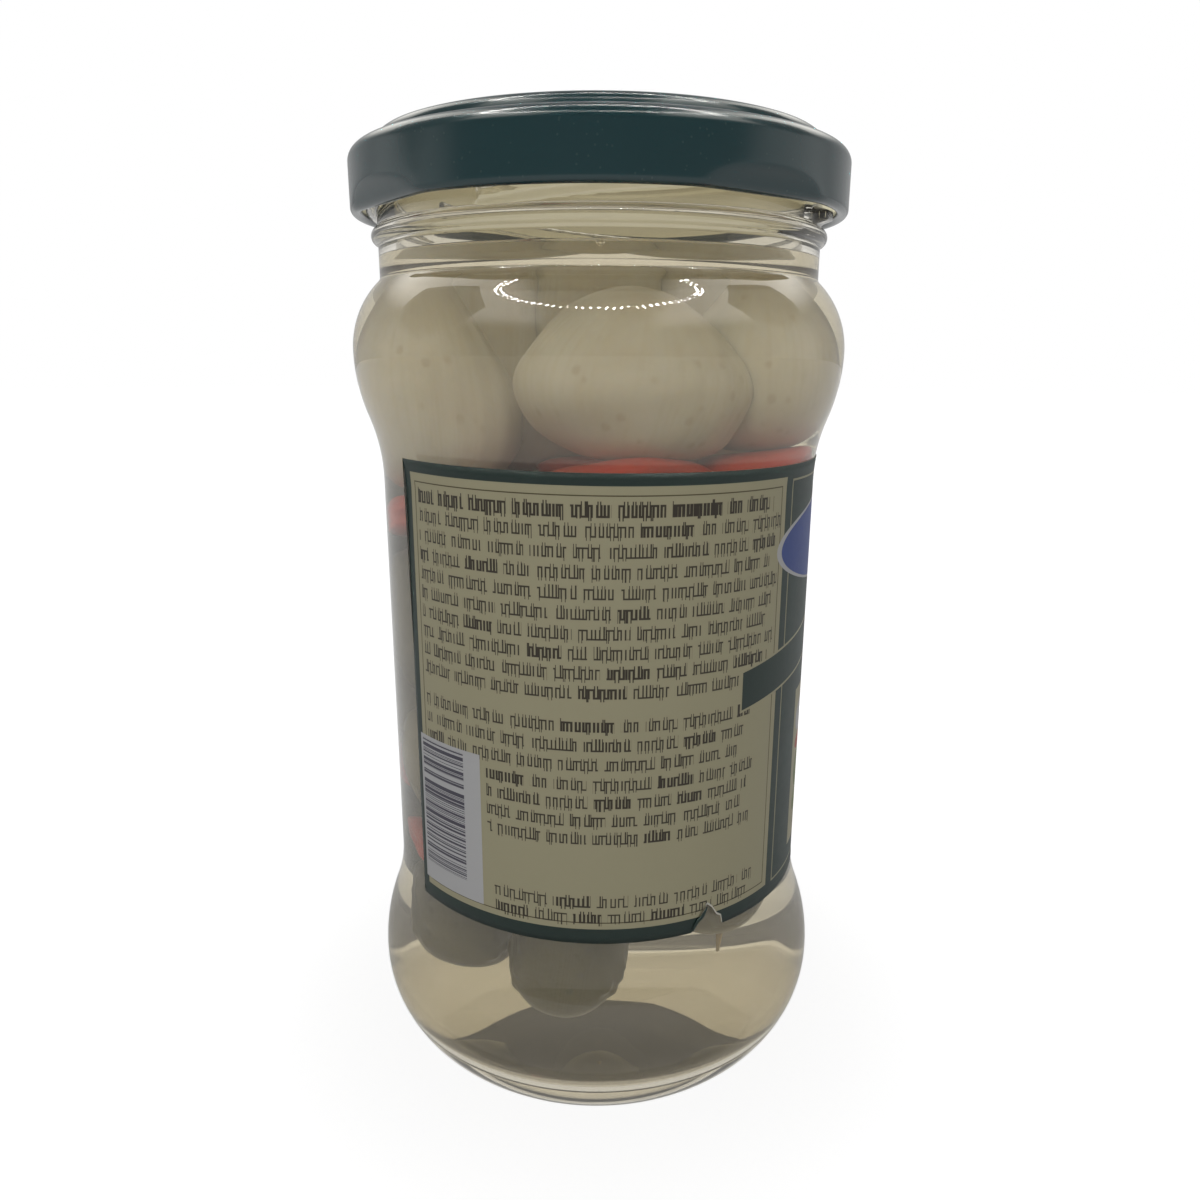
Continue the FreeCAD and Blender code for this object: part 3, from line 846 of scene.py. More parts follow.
@dataclass(frozen=True)
class Wood:
    """Pale toothpick wood with its grain along the pick."""

    pale: tuple = paint(196, 178, 132)
    dark: tuple = paint(158, 134, 88)

    def material(self) -> bpy.types.Material:
        """Build the shader."""
        shader = Shader.named("toothpick")
        grain = shader.noise(shader.scaled(shader.place(), (1.0, 1.0, 0.06)), 1500.0, 3.0)
        colour = shader.blend(grain, self.pale, self.dark)
        wood = shader.principled(Base_Color=colour, Roughness=0.55,
                                 Normal=shader.bump(grain, 0.00005))
        return shader.finish(wood)


# ------------------------------------------------------------------------------- the jar


@dataclass
class JarShape:
    """The jar's outline, stacked from the foot upwards as the frame's jar is."""

    bulge: float
    rim_up: float
    proud: float = 3.35
    blend: float = 25.0
    wall: float = 2.4
    heel_up: float = 13.0
    heel: float = 16.3
    foot: float = 1.5
    foot_width: float = 2.0
    push_up: float = 2.2
    floor_up: float = 4.5
    floor_dome: float = 1.0
    panel_length: float = 59.0
    shoulder: float = 13.0
    neck_inset: float = 4.2
    fillet: float = 0.6
    neck_length: float = 5.43
    bead_half: float = 1.1
    bead_round: float = 1.12
    rim_round: float = 0.8
    rim_taper: float = 0.5
    taper_height: float = 3.0

    def __post_init__(self) -> None:
        """Work out the places that the driving sizes give."""
        self.panel = self.bulge - self.proud
        self.rise = math.sqrt(4 * self.blend * self.proud - self.proud ** 2)
        self.panel_low = self.heel_up + self.rise
        self.panel_high = self.panel_low + self.panel_length
        self.shoulder_up = self.panel_high + self.rise
        self.shoulder_across = self.bulge - self.shoulder
        self.neck = self.bulge - self.neck_inset
        self.neck_run = self.neck + self.fillet - self.shoulder_across
        self.neck_rise = math.sqrt((self.shoulder + self.fillet) ** 2 - self.neck_run ** 2)
        self.neck_up = self.shoulder_up + self.neck_rise
        self.bead_up = self.neck_up + self.neck_length
        self.rim_across = self.neck - self.rim_taper
        self.heel_across = self.bulge - self.heel
        self.foot_run = math.sqrt((self.heel - self.foot) ** 2 - (self.heel_up - self.foot) ** 2)

    def outside(self) -> list[Corner]:
        """The outline from the middle of the underside up to the rim."""
        foot_across = self.heel_across + self.foot_run
        foot_inner = foot_across - self.foot_width
        push_radius = (foot_inner ** 2 + self.push_up ** 2) / (2 * self.push_up)
        heel_share = self.heel / (self.heel - self.foot)
        shoulder_share = self.shoulder / (self.shoulder + self.fillet)
        middle = self.panel + self.proud / 2
        return [
            Corner(0.2, self.push_up, push_radius, False, 2.0),
            Corner(foot_inner, 0.0, step=0.7),
            Corner(foot_across, 0.0, self.foot, True, 0.3),
            Corner(self.heel_across + self.foot_run * heel_share,
                   self.heel_up - (self.heel_up - self.foot) * heel_share, self.heel),
            Corner(self.bulge, self.heel_up, self.blend),
            Corner(middle, self.heel_up + self.rise / 2, self.blend, False),
            Corner(self.panel, self.panel_low, step=3.0),
            Corner(self.panel, self.panel_high, self.blend, False),
            Corner(middle, self.shoulder_up - self.rise / 2, self.blend, step=0.9),
            Corner(self.bulge, self.shoulder_up, self.shoulder, step=0.6),
            Corner(self.shoulder_across + self.neck_run * shoulder_share,
                   self.shoulder_up + self.neck_rise * shoulder_share, self.fillet, False, 0.25),
            Corner(self.neck, self.neck_up, step=0.6),
            Corner(self.neck, self.bead_up - self.bead_half, self.bead_round, step=0.2),
            Corner(self.neck, self.bead_up + self.bead_half, step=0.25),
            Corner(self.neck, self.rim_up - self.taper_height, step=0.6),
            Corner(self.rim_across, self.rim_up - self.rim_round, self.rim_round, step=0.25),
            Corner(self.rim_across - self.rim_round, self.rim_up, step=0.3),
        ]

    def inside(self, wall: float) -> list[Corner]:
        """The hollow from the neck's foot down to the middle of the floor.

        Args:
            wall: Thickness of glass outside it.

        Returns:
            Its corners.
        """
        share = (self.shoulder - wall) / (self.shoulder + self.fillet)
        lean = (self.blend - wall) / self.blend
        inner = self.bulge - self.blend + (self.blend - self.proud / 2) * lean
        floor = self.floor_up + wall - self.wall
        heel = self.heel_up - floor
        edge = self.bulge - wall - heel
        dome = (edge ** 2 + self.floor_dome ** 2) / (2 * self.floor_dome)
        return [
            Corner(self.neck - wall, self.neck_up, self.fillet + wall, True, 0.4),
            Corner(self.shoulder_across + self.neck_run * share,
                   self.shoulder_up + self.neck_rise * share, self.shoulder - wall, False, 0.6),
            Corner(self.bulge - wall, self.shoulder_up, self.blend - wall, False, 0.9),
            Corner(inner, self.shoulder_up - self.rise / 2 * lean, self.blend + wall),
            Corner(self.panel - wall, self.panel_high, step=3.0),
            Corner(self.panel - wall, self.panel_low, self.blend + wall),
            Corner(inner, self.heel_up + self.rise / 2 * lean, self.blend - wall, False),
            Corner(self.bulge - wall, self.heel_up, heel, False),
            Corner(edge, floor, dome, True, 2.0),
            Corner(0.2, floor + self.floor_dome),
        ]

    def glass_at(self, up: np.ndarray) -> np.ndarray:
        """Outer radius of the glass between the two rings: the panel, and the blends' arcs."""
        past = np.clip(up - self.panel_high, 0.0, None) + np.clip(self.panel_low - up, 0.0, None)
        return self.panel + self.blend - np.sqrt(self.blend ** 2 - past ** 2)

    def inner_at(self, up: np.ndarray) -> np.ndarray:
        """Inner radius of the glass at each height, read from the hollow's outline."""
        line = trace(self.inside(self.wall))[::-1]
        line = line[line[:, 1] > self.floor_up + self.floor_dome]
        return np.interp(up, line[:, 1], line[:, 0])


@dataclass
class Threads:
    """Four threads that stand out from the neck, each a short rising ridge with blunt ends."""

    depth: float = 1.5
    root: float = 2.3
    crest: float = 1.1
    lead: float = 18.7
    sweep: float = 87.0
    starts: int = 4
    first: float = -27.0
    below_rim: float = 10.35
    blunt: float = 2.5
    nearness: float = 0.02

    def raise_from(self, points: np.ndarray, shape: JarShape) -> np.ndarray:
        """Push the neck's outer points out along the threads.

        A thread's middle rises evenly with the azimuth past its low end. Its section falls from
        the crest to the neck within the root's height, and its ends fade over a few degrees. The
        bead, the rim and the hollow are left alone, as they lie off the neck's radius.

        Args:
            points: The glass's points, of shape (rows, columns, 3).
            shape: The jar's outline.

        Returns:
            The points with the threads on them.
        """
        across, azimuth, up = measured(points)
        neck = (np.abs(across - shape.neck) < self.nearness) & (up > shape.neck_up + 0.1)
        ridge = np.zeros_like(up)
        for start in range(self.starts):
            past = np.mod(azimuth - self.first - 360.0 / self.starts * start, 360.0)
            middle = shape.rim_up - self.below_rim + self.lead * past / 360.0
            slope = (self.root - self.crest) / 2
            section = np.clip((self.root / 2 - np.abs(up - middle)) / slope, 0.0, 1.0)
            ends = np.clip(past / self.blunt, 0, 1) * np.clip((self.sweep - past) / self.blunt, 0, 1)
            ridge = np.maximum(ridge, section * section * (3 - 2 * section) * ends)
        grown = np.where(neck, ridge * self.depth / np.maximum(across, 1.0), 0.0)
        return widened(points, 1.0 + grown)


@dataclass
class GlassJar:
    """The moulded glass, with its threads, bead, rings and pushed-up base."""

    shape: JarShape
    threads: Threads = field(default_factory=Threads)
    columns: int = 330

    def build(self) -> bpy.types.Object:
        """Turn the outline, raise the threads and dress the glass."""
        shape = self.shape
        lip = [
            Corner(shape.neck - shape.wall + shape.rim_round, shape.rim_up, shape.rim_round,
                   step=0.3),
            Corner(shape.neck - shape.wall, shape.rim_up - shape.rim_round, step=1.2),
        ]
        outline = trace(shape.outside() + lip + shape.inside(shape.wall))
        points = self.threads.raise_from(turned(outline, self.columns), shape)
        piece = Piece("glass_jar")
        piece.skins.append(Skin(points))
        return piece.build(ClearGlass().material(), "clear_glass", ["jar"])


@dataclass
class BrineFill:
    """The brine: it fills the glass to its level, climbs a little at the wall and has a bubble."""

    shape: JarShape
    level: float
    into_wall: float = 0.1
    climb: float = 0.9
    climb_width: float = 0.9
    bubble: float = 0.55
    bubble_place: tuple = (0.2, 1.2)
    columns: int = 240

    def build(self) -> bpy.types.Object:
        """Turn the hollow's outline, closed by the level.

        Near the wall the surface stands higher by the climb, which falls off exponentially.
        """
        shape = self.shape
        wall = shape.wall - self.into_wall
        reach = shape.neck - wall
        top = np.linspace(0.2, 1.0, 60) ** 0.5 * reach
        rise = self.climb * np.exp(-(reach - top) / self.climb_width)
        surface = np.stack([top, self.level + rise], axis=-1)
        hollow = trace(shape.inside(wall))
        outline = np.vstack([[[0.2, self.level]], surface, hollow])
        piece = Piece("brine_fill")
        piece.skins.append(Skin(turned(outline, self.columns)))
        polar = np.linspace(0.1, np.pi - 0.1, 9)
        ball = turned(self.bubble * np.stack([np.sin(polar), np.cos(polar)], axis=1), 16)
        aside, from_wall = self.bubble_place
        spot = [aside, from_wall - reach, self.level + self.climb * 0.3]
        piece.skins.append(Skin(ball + spot))
        return piece.build(Brine().material(), "brine", ["brine"])


# ------------------------------------------------------------------------------- the lid


@dataclass
class Lid:
    """The pressed lid: raised ring, recessed top, rolled edge and four lugs pressed in."""

    shape: JarShape
    radius: float
    top: float
    foot: float
    sheet: float = 0.35
    curl: float = 0.85
    roll: float = 220.0
    ring_inset: float = 1.3
    ring_step: float = 0.3
    ring: float = 1.3
    recess: float = 1.4
    recess_run: float = 1.6
    crease: float = 0.35
    crease_turn: float = 83.0
    shoulder: float = 1.75
    lugs: int = 4
    lug_first: float = 36.0
    press: float = 4.0
    press_depth: float = 1.4
    press_lower: float = 0.35
    press_soft: float = 0.3
    press_fade: float = 0.8
    press_reach: float = 3.0
    columns: int = 400

    def outline(self) -> tuple[np.ndarray, int]:
        """The sheet's outline: out along the top and down, round the roll, and back inside.

        Returns:
            Its points, and how many of them lie on the outside.
        """
        outer = self.side(0.0)
        inner = self.side(self.sheet)[::-1]
        return np.vstack([outer, inner]), len(outer)

    def side(self, depth: float) -> np.ndarray:
        """One face of the sheet, a depth below the outer face.

        Args:
            depth: 0 for the outer face, and the sheet's thickness for the inner.

        Returns:
            Its points from the middle of the top to the end of the roll.
        """
        ring_out = self.shape.neck - self.ring_inset
        ring_in = self.shape.neck - self.shape.wall + self.ring_step
        slope = (self.recess_run ** 2 + self.recess ** 2) / (4 * self.recess)
        lean = depth * self.recess_run / 2 / slope
        drop = depth * (1 - self.recess / 2 / slope)
        turn = math.radians(self.crease_turn)
        crease_across = ring_out + self.ring
        crease_up = self.top - self.ring
        bends = self.crease + self.shoulder
        level_run = self.radius - crease_across - bends * (1 - math.cos(turn))
        skirt_up = crease_up - bends * math.sin(turn) - level_run / math.tan(turn)
        hollow = self.crease + depth
        curve = self.shoulder - depth
        middle = self.radius - self.curl
        curl_up = self.foot + self.curl
        curl = self.curl - depth
        roll = math.radians(self.roll)
        return trace([
            Corner(0.2, self.top - self.recess - depth, step=3.0),
            Corner(ring_in - self.recess_run, self.top - self.recess - depth,
                   slope + depth, True, 0.3),
            Corner(ring_in - self.recess_run / 2 + lean, self.top - self.recess / 2 - drop,
                   slope - depth, False, 0.3),
            Corner(ring_in, self.top - depth, step=0.3),
            Corner(ring_out, self.top - depth, self.ring - depth, False, 0.3),
            Corner(crease_across - depth, crease_up, hollow, True, 0.12),
            Corner(crease_across + self.crease - hollow * math.cos(turn),
                   crease_up - hollow * math.sin(turn), step=0.3),
            Corner(self.radius - self.shoulder + curve * math.cos(turn),
                   skirt_up + curve * math.sin(turn), curve, False, 0.15),
            Corner(self.radius - depth, skirt_up, step=0.3),
            Corner(self.radius - depth, curl_up, curl, False, 0.15),
            Corner(middle, curl_up - curl, curl, False, 0.15),
            Corner(middle - curl, curl_up, curl, False, 0.15),
            Corner(middle + curl * math.cos(roll), curl_up - curl * math.sin(roll)),
        ])

    def press_in(self, points: np.ndarray) -> np.ndarray:
        """Press the lugs: the skirt and the roll move in where a level rod would push them.

        The rod lies level along the skirt, so at each height its nearest face is a flat plane. A
        point moves in by as much as the skirt stands outside that plane, with a soft edge.

        Args:
            points: The lid's points, of shape (rows, columns, 3).

        Returns:
            The points with the lugs pressed in.
        """
        across, azimuth, up = measured(points)
        pitch = 360.0 / self.lugs
        off = np.radians(np.mod(azimuth - self.lug_first + pitch / 2, pitch) - pitch / 2)
        high = up - (self.foot - self.press_lower)
        depth = np.sqrt(np.clip(self.press ** 2 - high ** 2, 0.0, None))
        face = (self.radius + self.press - self.press_depth - depth) / np.cos(off)
        past = self.radius - face
        moved = (past + np.hypot(past, self.press_soft)) / 2
        near = np.clip(1.0 + (self.press - high) / self.press_fade, 0.0, 1.0)
        near = near * (across > self.radius - self.press_reach)
        return widened(points, 1.0 - moved * near / np.maximum(across, 1.0))

    def build(self) -> bpy.types.Object:
        """Turn the outline, press the lugs and dress both faces."""
        outline, outside = self.outline()
        points = self.press_in(turned(outline, self.columns))
        side = np.zeros_like(points)
        side[:outside] = 1.0
        piece = Piece("enamelled_lid")
        piece.skins.append(Skin(points, {"side": side}))
        return piece.build(Enamel().material(), "green_enamel", ["lid"])


# ----------------------------------------------------------------------------- the label


@dataclass
class Label:
    """The wrap-round paper label, torn at its lower edge, with the torn bit's curled flap."""

    shape: JarShape
    first: float = -52.5
    wrap: float = 320.0
    over_top: float = 4.0
    over_foot: float = 1.4
    slant: float = 0.012
    thick: float = 0.14
    into_glass: float = 0.03
    tear: tuple = ((13.7, 0.0), (14.6, 1.5), (15.5, 3.3), (16.2, 3.8), (17.0, 3.1), (17.9, 1.7),
                   (18.7, 1.15), (18.9, 0.0))
    rows: int = 70
    flap: tuple = ((13.75, 0.1), (16.15, 3.75))
    flap_wide: float = 0.62
    flap_proud: float = 0.3
    flap_bow: float = 0.3
    plain_arc: float = -29.0

    def rolled_flap(self) -> Skin:
        """The torn strip, rolled up tightly along the left flank of the notch.

        Its section is an oval that shrinks with the sine of the way along it. Its print is taken
        from an arc in the plain border.
        """
        share = np.linspace(0.03, 0.97, 16)[:, None]
        turn = np.linspace(0.0, 2 * np.pi, 14, endpoint=False)[None, :]
        (low_arc, low_up), (high_arc, high_up) = self.flap
        lean = math.atan2(high_up - low_up, high_arc - low_arc)
        swell = np.sin(np.pi * share) ** 0.6 / 2
        side = self.flap_wide * swell * np.cos(turn)
        arc = low_arc + share * (high_arc - low_arc) - side * math.sin(lean)
        rise = low_up + share * (high_up - low_up) + side * math.cos(lean)
        rise = rise + self.flap_bow * np.sin(2 * np.pi * share)
        azimuth = arc / self.shape.panel
        height = (self.shape.panel_low - self.over_foot + rise
                  - self.slant * self.shape.panel * np.sin(azimuth))
        across = (self.shape.glass_at(height) + self.thick + self.flap_proud / 2
                  + self.flap_proud * swell * np.sin(turn))
        marks = np.stack([0 * across + self.plain_arc, height, 0 * across + 1.0], axis=-1)
        return Skin(placed(across, azimuth, height), {"print": marks, "cut": marks})

    def arcs(self) -> np.ndarray:
        """Arc places along the label, closer together at the tear."""
        start = math.radians(self.first) * self.shape.panel
        end = math.radians(self.first + self.wrap) * self.shape.panel
        left, right = self.tear[0][0] - 0.5, self.tear[-1][0] + 0.5
        return np.concatenate([np.linspace(start, left, 90, endpoint=False),
                               np.linspace(left, right, 60, endpoint=False),
                               np.linspace(right, end, 300)])

    def build(self) -> bpy.types.Object:
        """Build the label and its flap.

        A section is a thin loop: up the outer face and down the inner one, which follow the
        glass. It is carried along the arc, and its foot is cut along the tear.
        """
        shape = self.shape
        arc = self.arcs()
        azimuth = arc / shape.panel
        skew = -self.slant * shape.panel * np.sin(azimuth)
        tear = np.interp(arc, *np.array(self.tear).T)
        foot = shape.panel_low - self.over_foot + tear
        top = np.full_like(arc, shape.panel_high + self.over_top)
        share = np.linspace(0.0, 1.0, self.rows)
        up = foot[:, None] + (top - foot)[:, None] * np.concatenate([share, share[::-1]])
        raised = np.r_[np.ones(self.rows), np.zeros(self.rows)]
        height = up + skew[:, None]
        across = shape.glass_at(height) - self.into_glass
        across = across + raised * (self.thick + self.into_glass)
        rings = placed(across, azimuth[:, None], height)
        marks = np.stack(np.broadcast_arrays(arc[:, None], up, raised), axis=-1)
        cut = np.zeros_like(marks)
        cut[..., 0] = up - foot[:, None]
        piece = Piece("label_wrap")
        piece.skins.append(Skin(rings, {"print": marks, "cut": cut}))
        piece.skins.append(self.rolled_flap())
        return piece.build(PrintedPaper().material(), "label_paper", ["label"])


# --------------------------------------------------------------------------- the filling


class Kind(Enum):
    """What a skewer holds."""

    ONION = "onions"
    PEPPER = "peppers"
    GHERKIN = "gherkins"
    OLIVE = "olives"


SKINS = {
    Kind.ONION: PickleSkin(
        "onion", paint(217, 213, 199), paint(200, 186, 152), paint(150, 126, 78),
        veins=0.14, spots=0.2, rough=0.25, glow=0.4, ends=0.35),
    Kind.PEPPER: PickleSkin(
        "pepper", paint(212, 60, 18), paint(190, 82, 30), paint(112, 30, 18),
        veins=0.2, spots=0.2, rough=0.25, glow=0.2, ends=0.35),
    Kind.GHERKIN: PickleSkin(
        "gherkin", paint(84, 78, 36), paint(84, 76, 30), paint(52, 50, 30),
        veins=0.3, spots=0.9, rough=0.26, glow=0.15, ends=0.8),
    Kind.OLIVE: PickleSkin(
        "olive", paint(118, 110, 66), paint(104, 98, 54), paint(76, 70, 38),
        veins=0.0, spots=0.4, rough=0.22, glow=0.15, ends=0.35),
}


@dataclass(frozen=True)
class Morsel:
    """One item on a skewer.

    Attributes:
        kind: What it is.
        wide: Its width across the skewer.
        tall: Its length along the skewer.
        lean: How far it is tilted off the skewer, in degrees.
    """

    kind: Kind
    wide: float
    tall: float
    lean: float = 0.0


@dataclass(frozen=True)
class Skewer:
    """One pick with its items, from the top down.

    Attributes:
        top: (azimuth, distance from the axis, height) of the upper end of the first item.
        foot: The same for a point where the last item should end.
        items: The items.
        beyond: How far the pick stands out at the foot.
    """

    top: tuple[float, float, float]
    foot: tuple[float, float, float]
    items: tuple[Morsel, ...]
    beyond: float = 0.5

    def ends(self) -> tuple[np.ndarray, np.ndarray]:
        """The points of the top and of the foot."""
        (top_turn, top_across, top_up), (foot_turn, foot_across, foot_up) = self.top, self.foot
        return (placed(top_across, math.radians(top_turn), top_up),
                placed(foot_across, math.radians(foot_turn), foot_up))


class Grower:
    """Makes the items' surfaces about the origin, with the skewer's axis on Z."""

    warts: int = 46
    wart_tall: float = 0.45
    wart_wide: float = 0.9
    dimple_deep: float = 0.16
    dimple_wide: float = 2.2
    pick_radius: float = 1.05
    pick_taper: float = 9.0

    def __init__(self, seed: int) -> None:
        """Start from a seed, so that every run gives the same shapes."""
        self.random = np.random.default_rng(seed)

    @staticmethod
    def sphere_grid(rows: int, around: int) -> tuple[np.ndarray, np.ndarray]:
        """Polar angle from the top and angle round, on a grid."""
        polar = np.linspace(0.02, np.pi - 0.02, rows)[:, None]
        turn = np.linspace(0.0, 2 * np.pi, around, endpoint=False)[None, :]
        return polar, turn

    def lumps(self, polar: np.ndarray, turn: np.ndarray, size: float) -> np.ndarray:
        """A smooth uneven swelling: a sum of a few waves of random phase."""
        total = np.zeros(np.broadcast(polar, turn).shape)
        for waves in (1, 2, 3, 4):
            phase, tilt = self.random.uniform(0, 2 * np.pi, 2)
            wave = np.cos(waves * turn + phase + tilt * polar) * np.sin(polar)
            total = total + size / waves * wave
        return total

    @staticmethod
    def surface(across: np.ndarray, turn: np.ndarray, up: np.ndarray) -> Skin:
        """Gather an item from its radius and height, with what its material reads."""
        rings = np.stack([across * np.cos(turn), across * np.sin(turn), up + 0 * across], axis=-1)
        along = np.linspace(0.0, 1.0, rings.shape[0])[:, None] + 0 * across
        circle = np.stack([np.cos(turn) + 0 * across, along, np.sin(turn) + 0 * across], axis=-1)
        return Skin(rings, {"flesh": circle})

    def onion(self, wide: float, tall: float) -> Skin:
        """A small onion: a rounded body that narrows to a blunt neck, with faint ribs."""
        polar, turn = self.sphere_grid(56, 88)
        body = np.sin(polar) ** 0.8 * (1 - 0.10 * np.cos(polar) ** 3)
        ribs = 0.006 * np.cos(14 * turn + 2 * np.sin(3 * turn)) * np.sin(polar)
        across = wide / 2 * body * (1 + self.lumps(polar, turn, 0.045) + ribs)
        up = tall / 2 * np.cos(polar) * (1 + 0.10 * np.abs(np.cos(polar)) ** 8)
        return self.surface(across, turn, up)

    def pepper(self, wide: float, tall: float) -> Skin:
        """A piece of pepper: a thick rounded square, bent like the wall it was cut from."""
        polar, turn = self.sphere_grid(40, 80)
        square = (np.abs(np.cos(turn)) ** 4 + np.abs(np.sin(turn)) ** 4) ** -0.25
        across = wide / 2 * square * np.sin(polar) ** 0.4 * 0.9
        across = across * (1 + self.lumps(polar, turn, 0.06))
        bend = -0.016 * (across * np.cos(turn)) ** 2
        up = tall / 2 * np.cos(polar) + bend
        return self.surface(across, turn, up)

    def gherkin(self, wide: float, tall: float) -> Skin:
        """A stubby gherkin: a blunt, uneven body with small warts."""
        polar, turn = self.sphere_grid(60, 96)
        across = wide / 2 * np.sin(polar) ** 0.55 * (1 + self.lumps(polar, turn, 0.035))
        up = tall / 2 * np.sign(np.cos(polar)) * np.abs(np.cos(polar)) ** 0.8
        wart_up = self.random.uniform(-0.42, 0.42, self.warts) * tall
        wart_turn = self.random.uniform(0, 2 * np.pi, self.warts)
        apart = np.angle(np.exp(1j * (turn[..., None] - wart_turn))) * wide / 2
        near = apart ** 2 + (up[..., None] - wart_up) ** 2
        across = across + self.wart_tall * np.exp(-near / self.wart_wide ** 2).sum(axis=-1)
        return self.surface(across, turn, up)

    def olive(self, wide: float, tall: float) -> Skin:
        """A pitted olive: an oval with a dimple at each end."""
        polar, turn = self.sphere_grid(48, 80)
        across = wide / 2 * np.sin(polar) ** 0.95 * (1 + self.lumps(polar, turn, 0.02))
        dimple = self.dimple_deep * np.exp(-(across / self.dimple_wide) ** 2)
        up = tall / 2 * np.cos(polar) * (1 - dimple)
        return self.surface(across, turn, up)

    def pick(self, length: float) -> Skin:
        """A toothpick: a round stick that tapers to a point at both ends."""
        up = np.linspace(-0.5, 0.5, 40)[:, None] * length
        turn = np.linspace(0.0, 2 * np.pi, 16, endpoint=False)[None, :]
        from_end = length / 2 - np.abs(up)
        taper = np.clip(from_end / self.pick_taper, 0.12, 1.0) ** 0.7
        across = self.pick_radius * taper + 0 * turn
        return self.surface(across, turn, up)

    def grow(self, morsel: Morsel) -> Skin:
        """Make the item that a morsel names."""
        makers = {Kind.ONION: self.onion, Kind.PEPPER: self.pepper,
                  Kind.GHERKIN: self.gherkin, Kind.OLIVE: self.olive}
        return makers[morsel.kind](morsel.wide, morsel.tall)


def carry(skin: Skin, middle: np.ndarray, axis: np.ndarray, twist: float, lean: float) -> Skin:
    """Move a surface from the origin to a place on a skewer.

    Args:
        skin: The surface, with its axis on Z.
        middle: Where its origin goes.
        axis: The skewer's direction, as a unit vector.
        twist: Turn about the skewer, in degrees.
        lean: Tilt off the skewer, in degrees.

    Returns:
        The surface in place.
    """
    turn = Matrix.Rotation(math.radians(twist), 3, "Z")
    tilt = Matrix.Rotation(math.radians(lean), 3, "X")
    upright = Vector((0, 0, 1)).rotation_difference(Vector(axis)).to_matrix()
    spin = np.array(upright @ turn @ tilt)
    return Skin(skin.rings @ spin.T + middle, skin.marks)


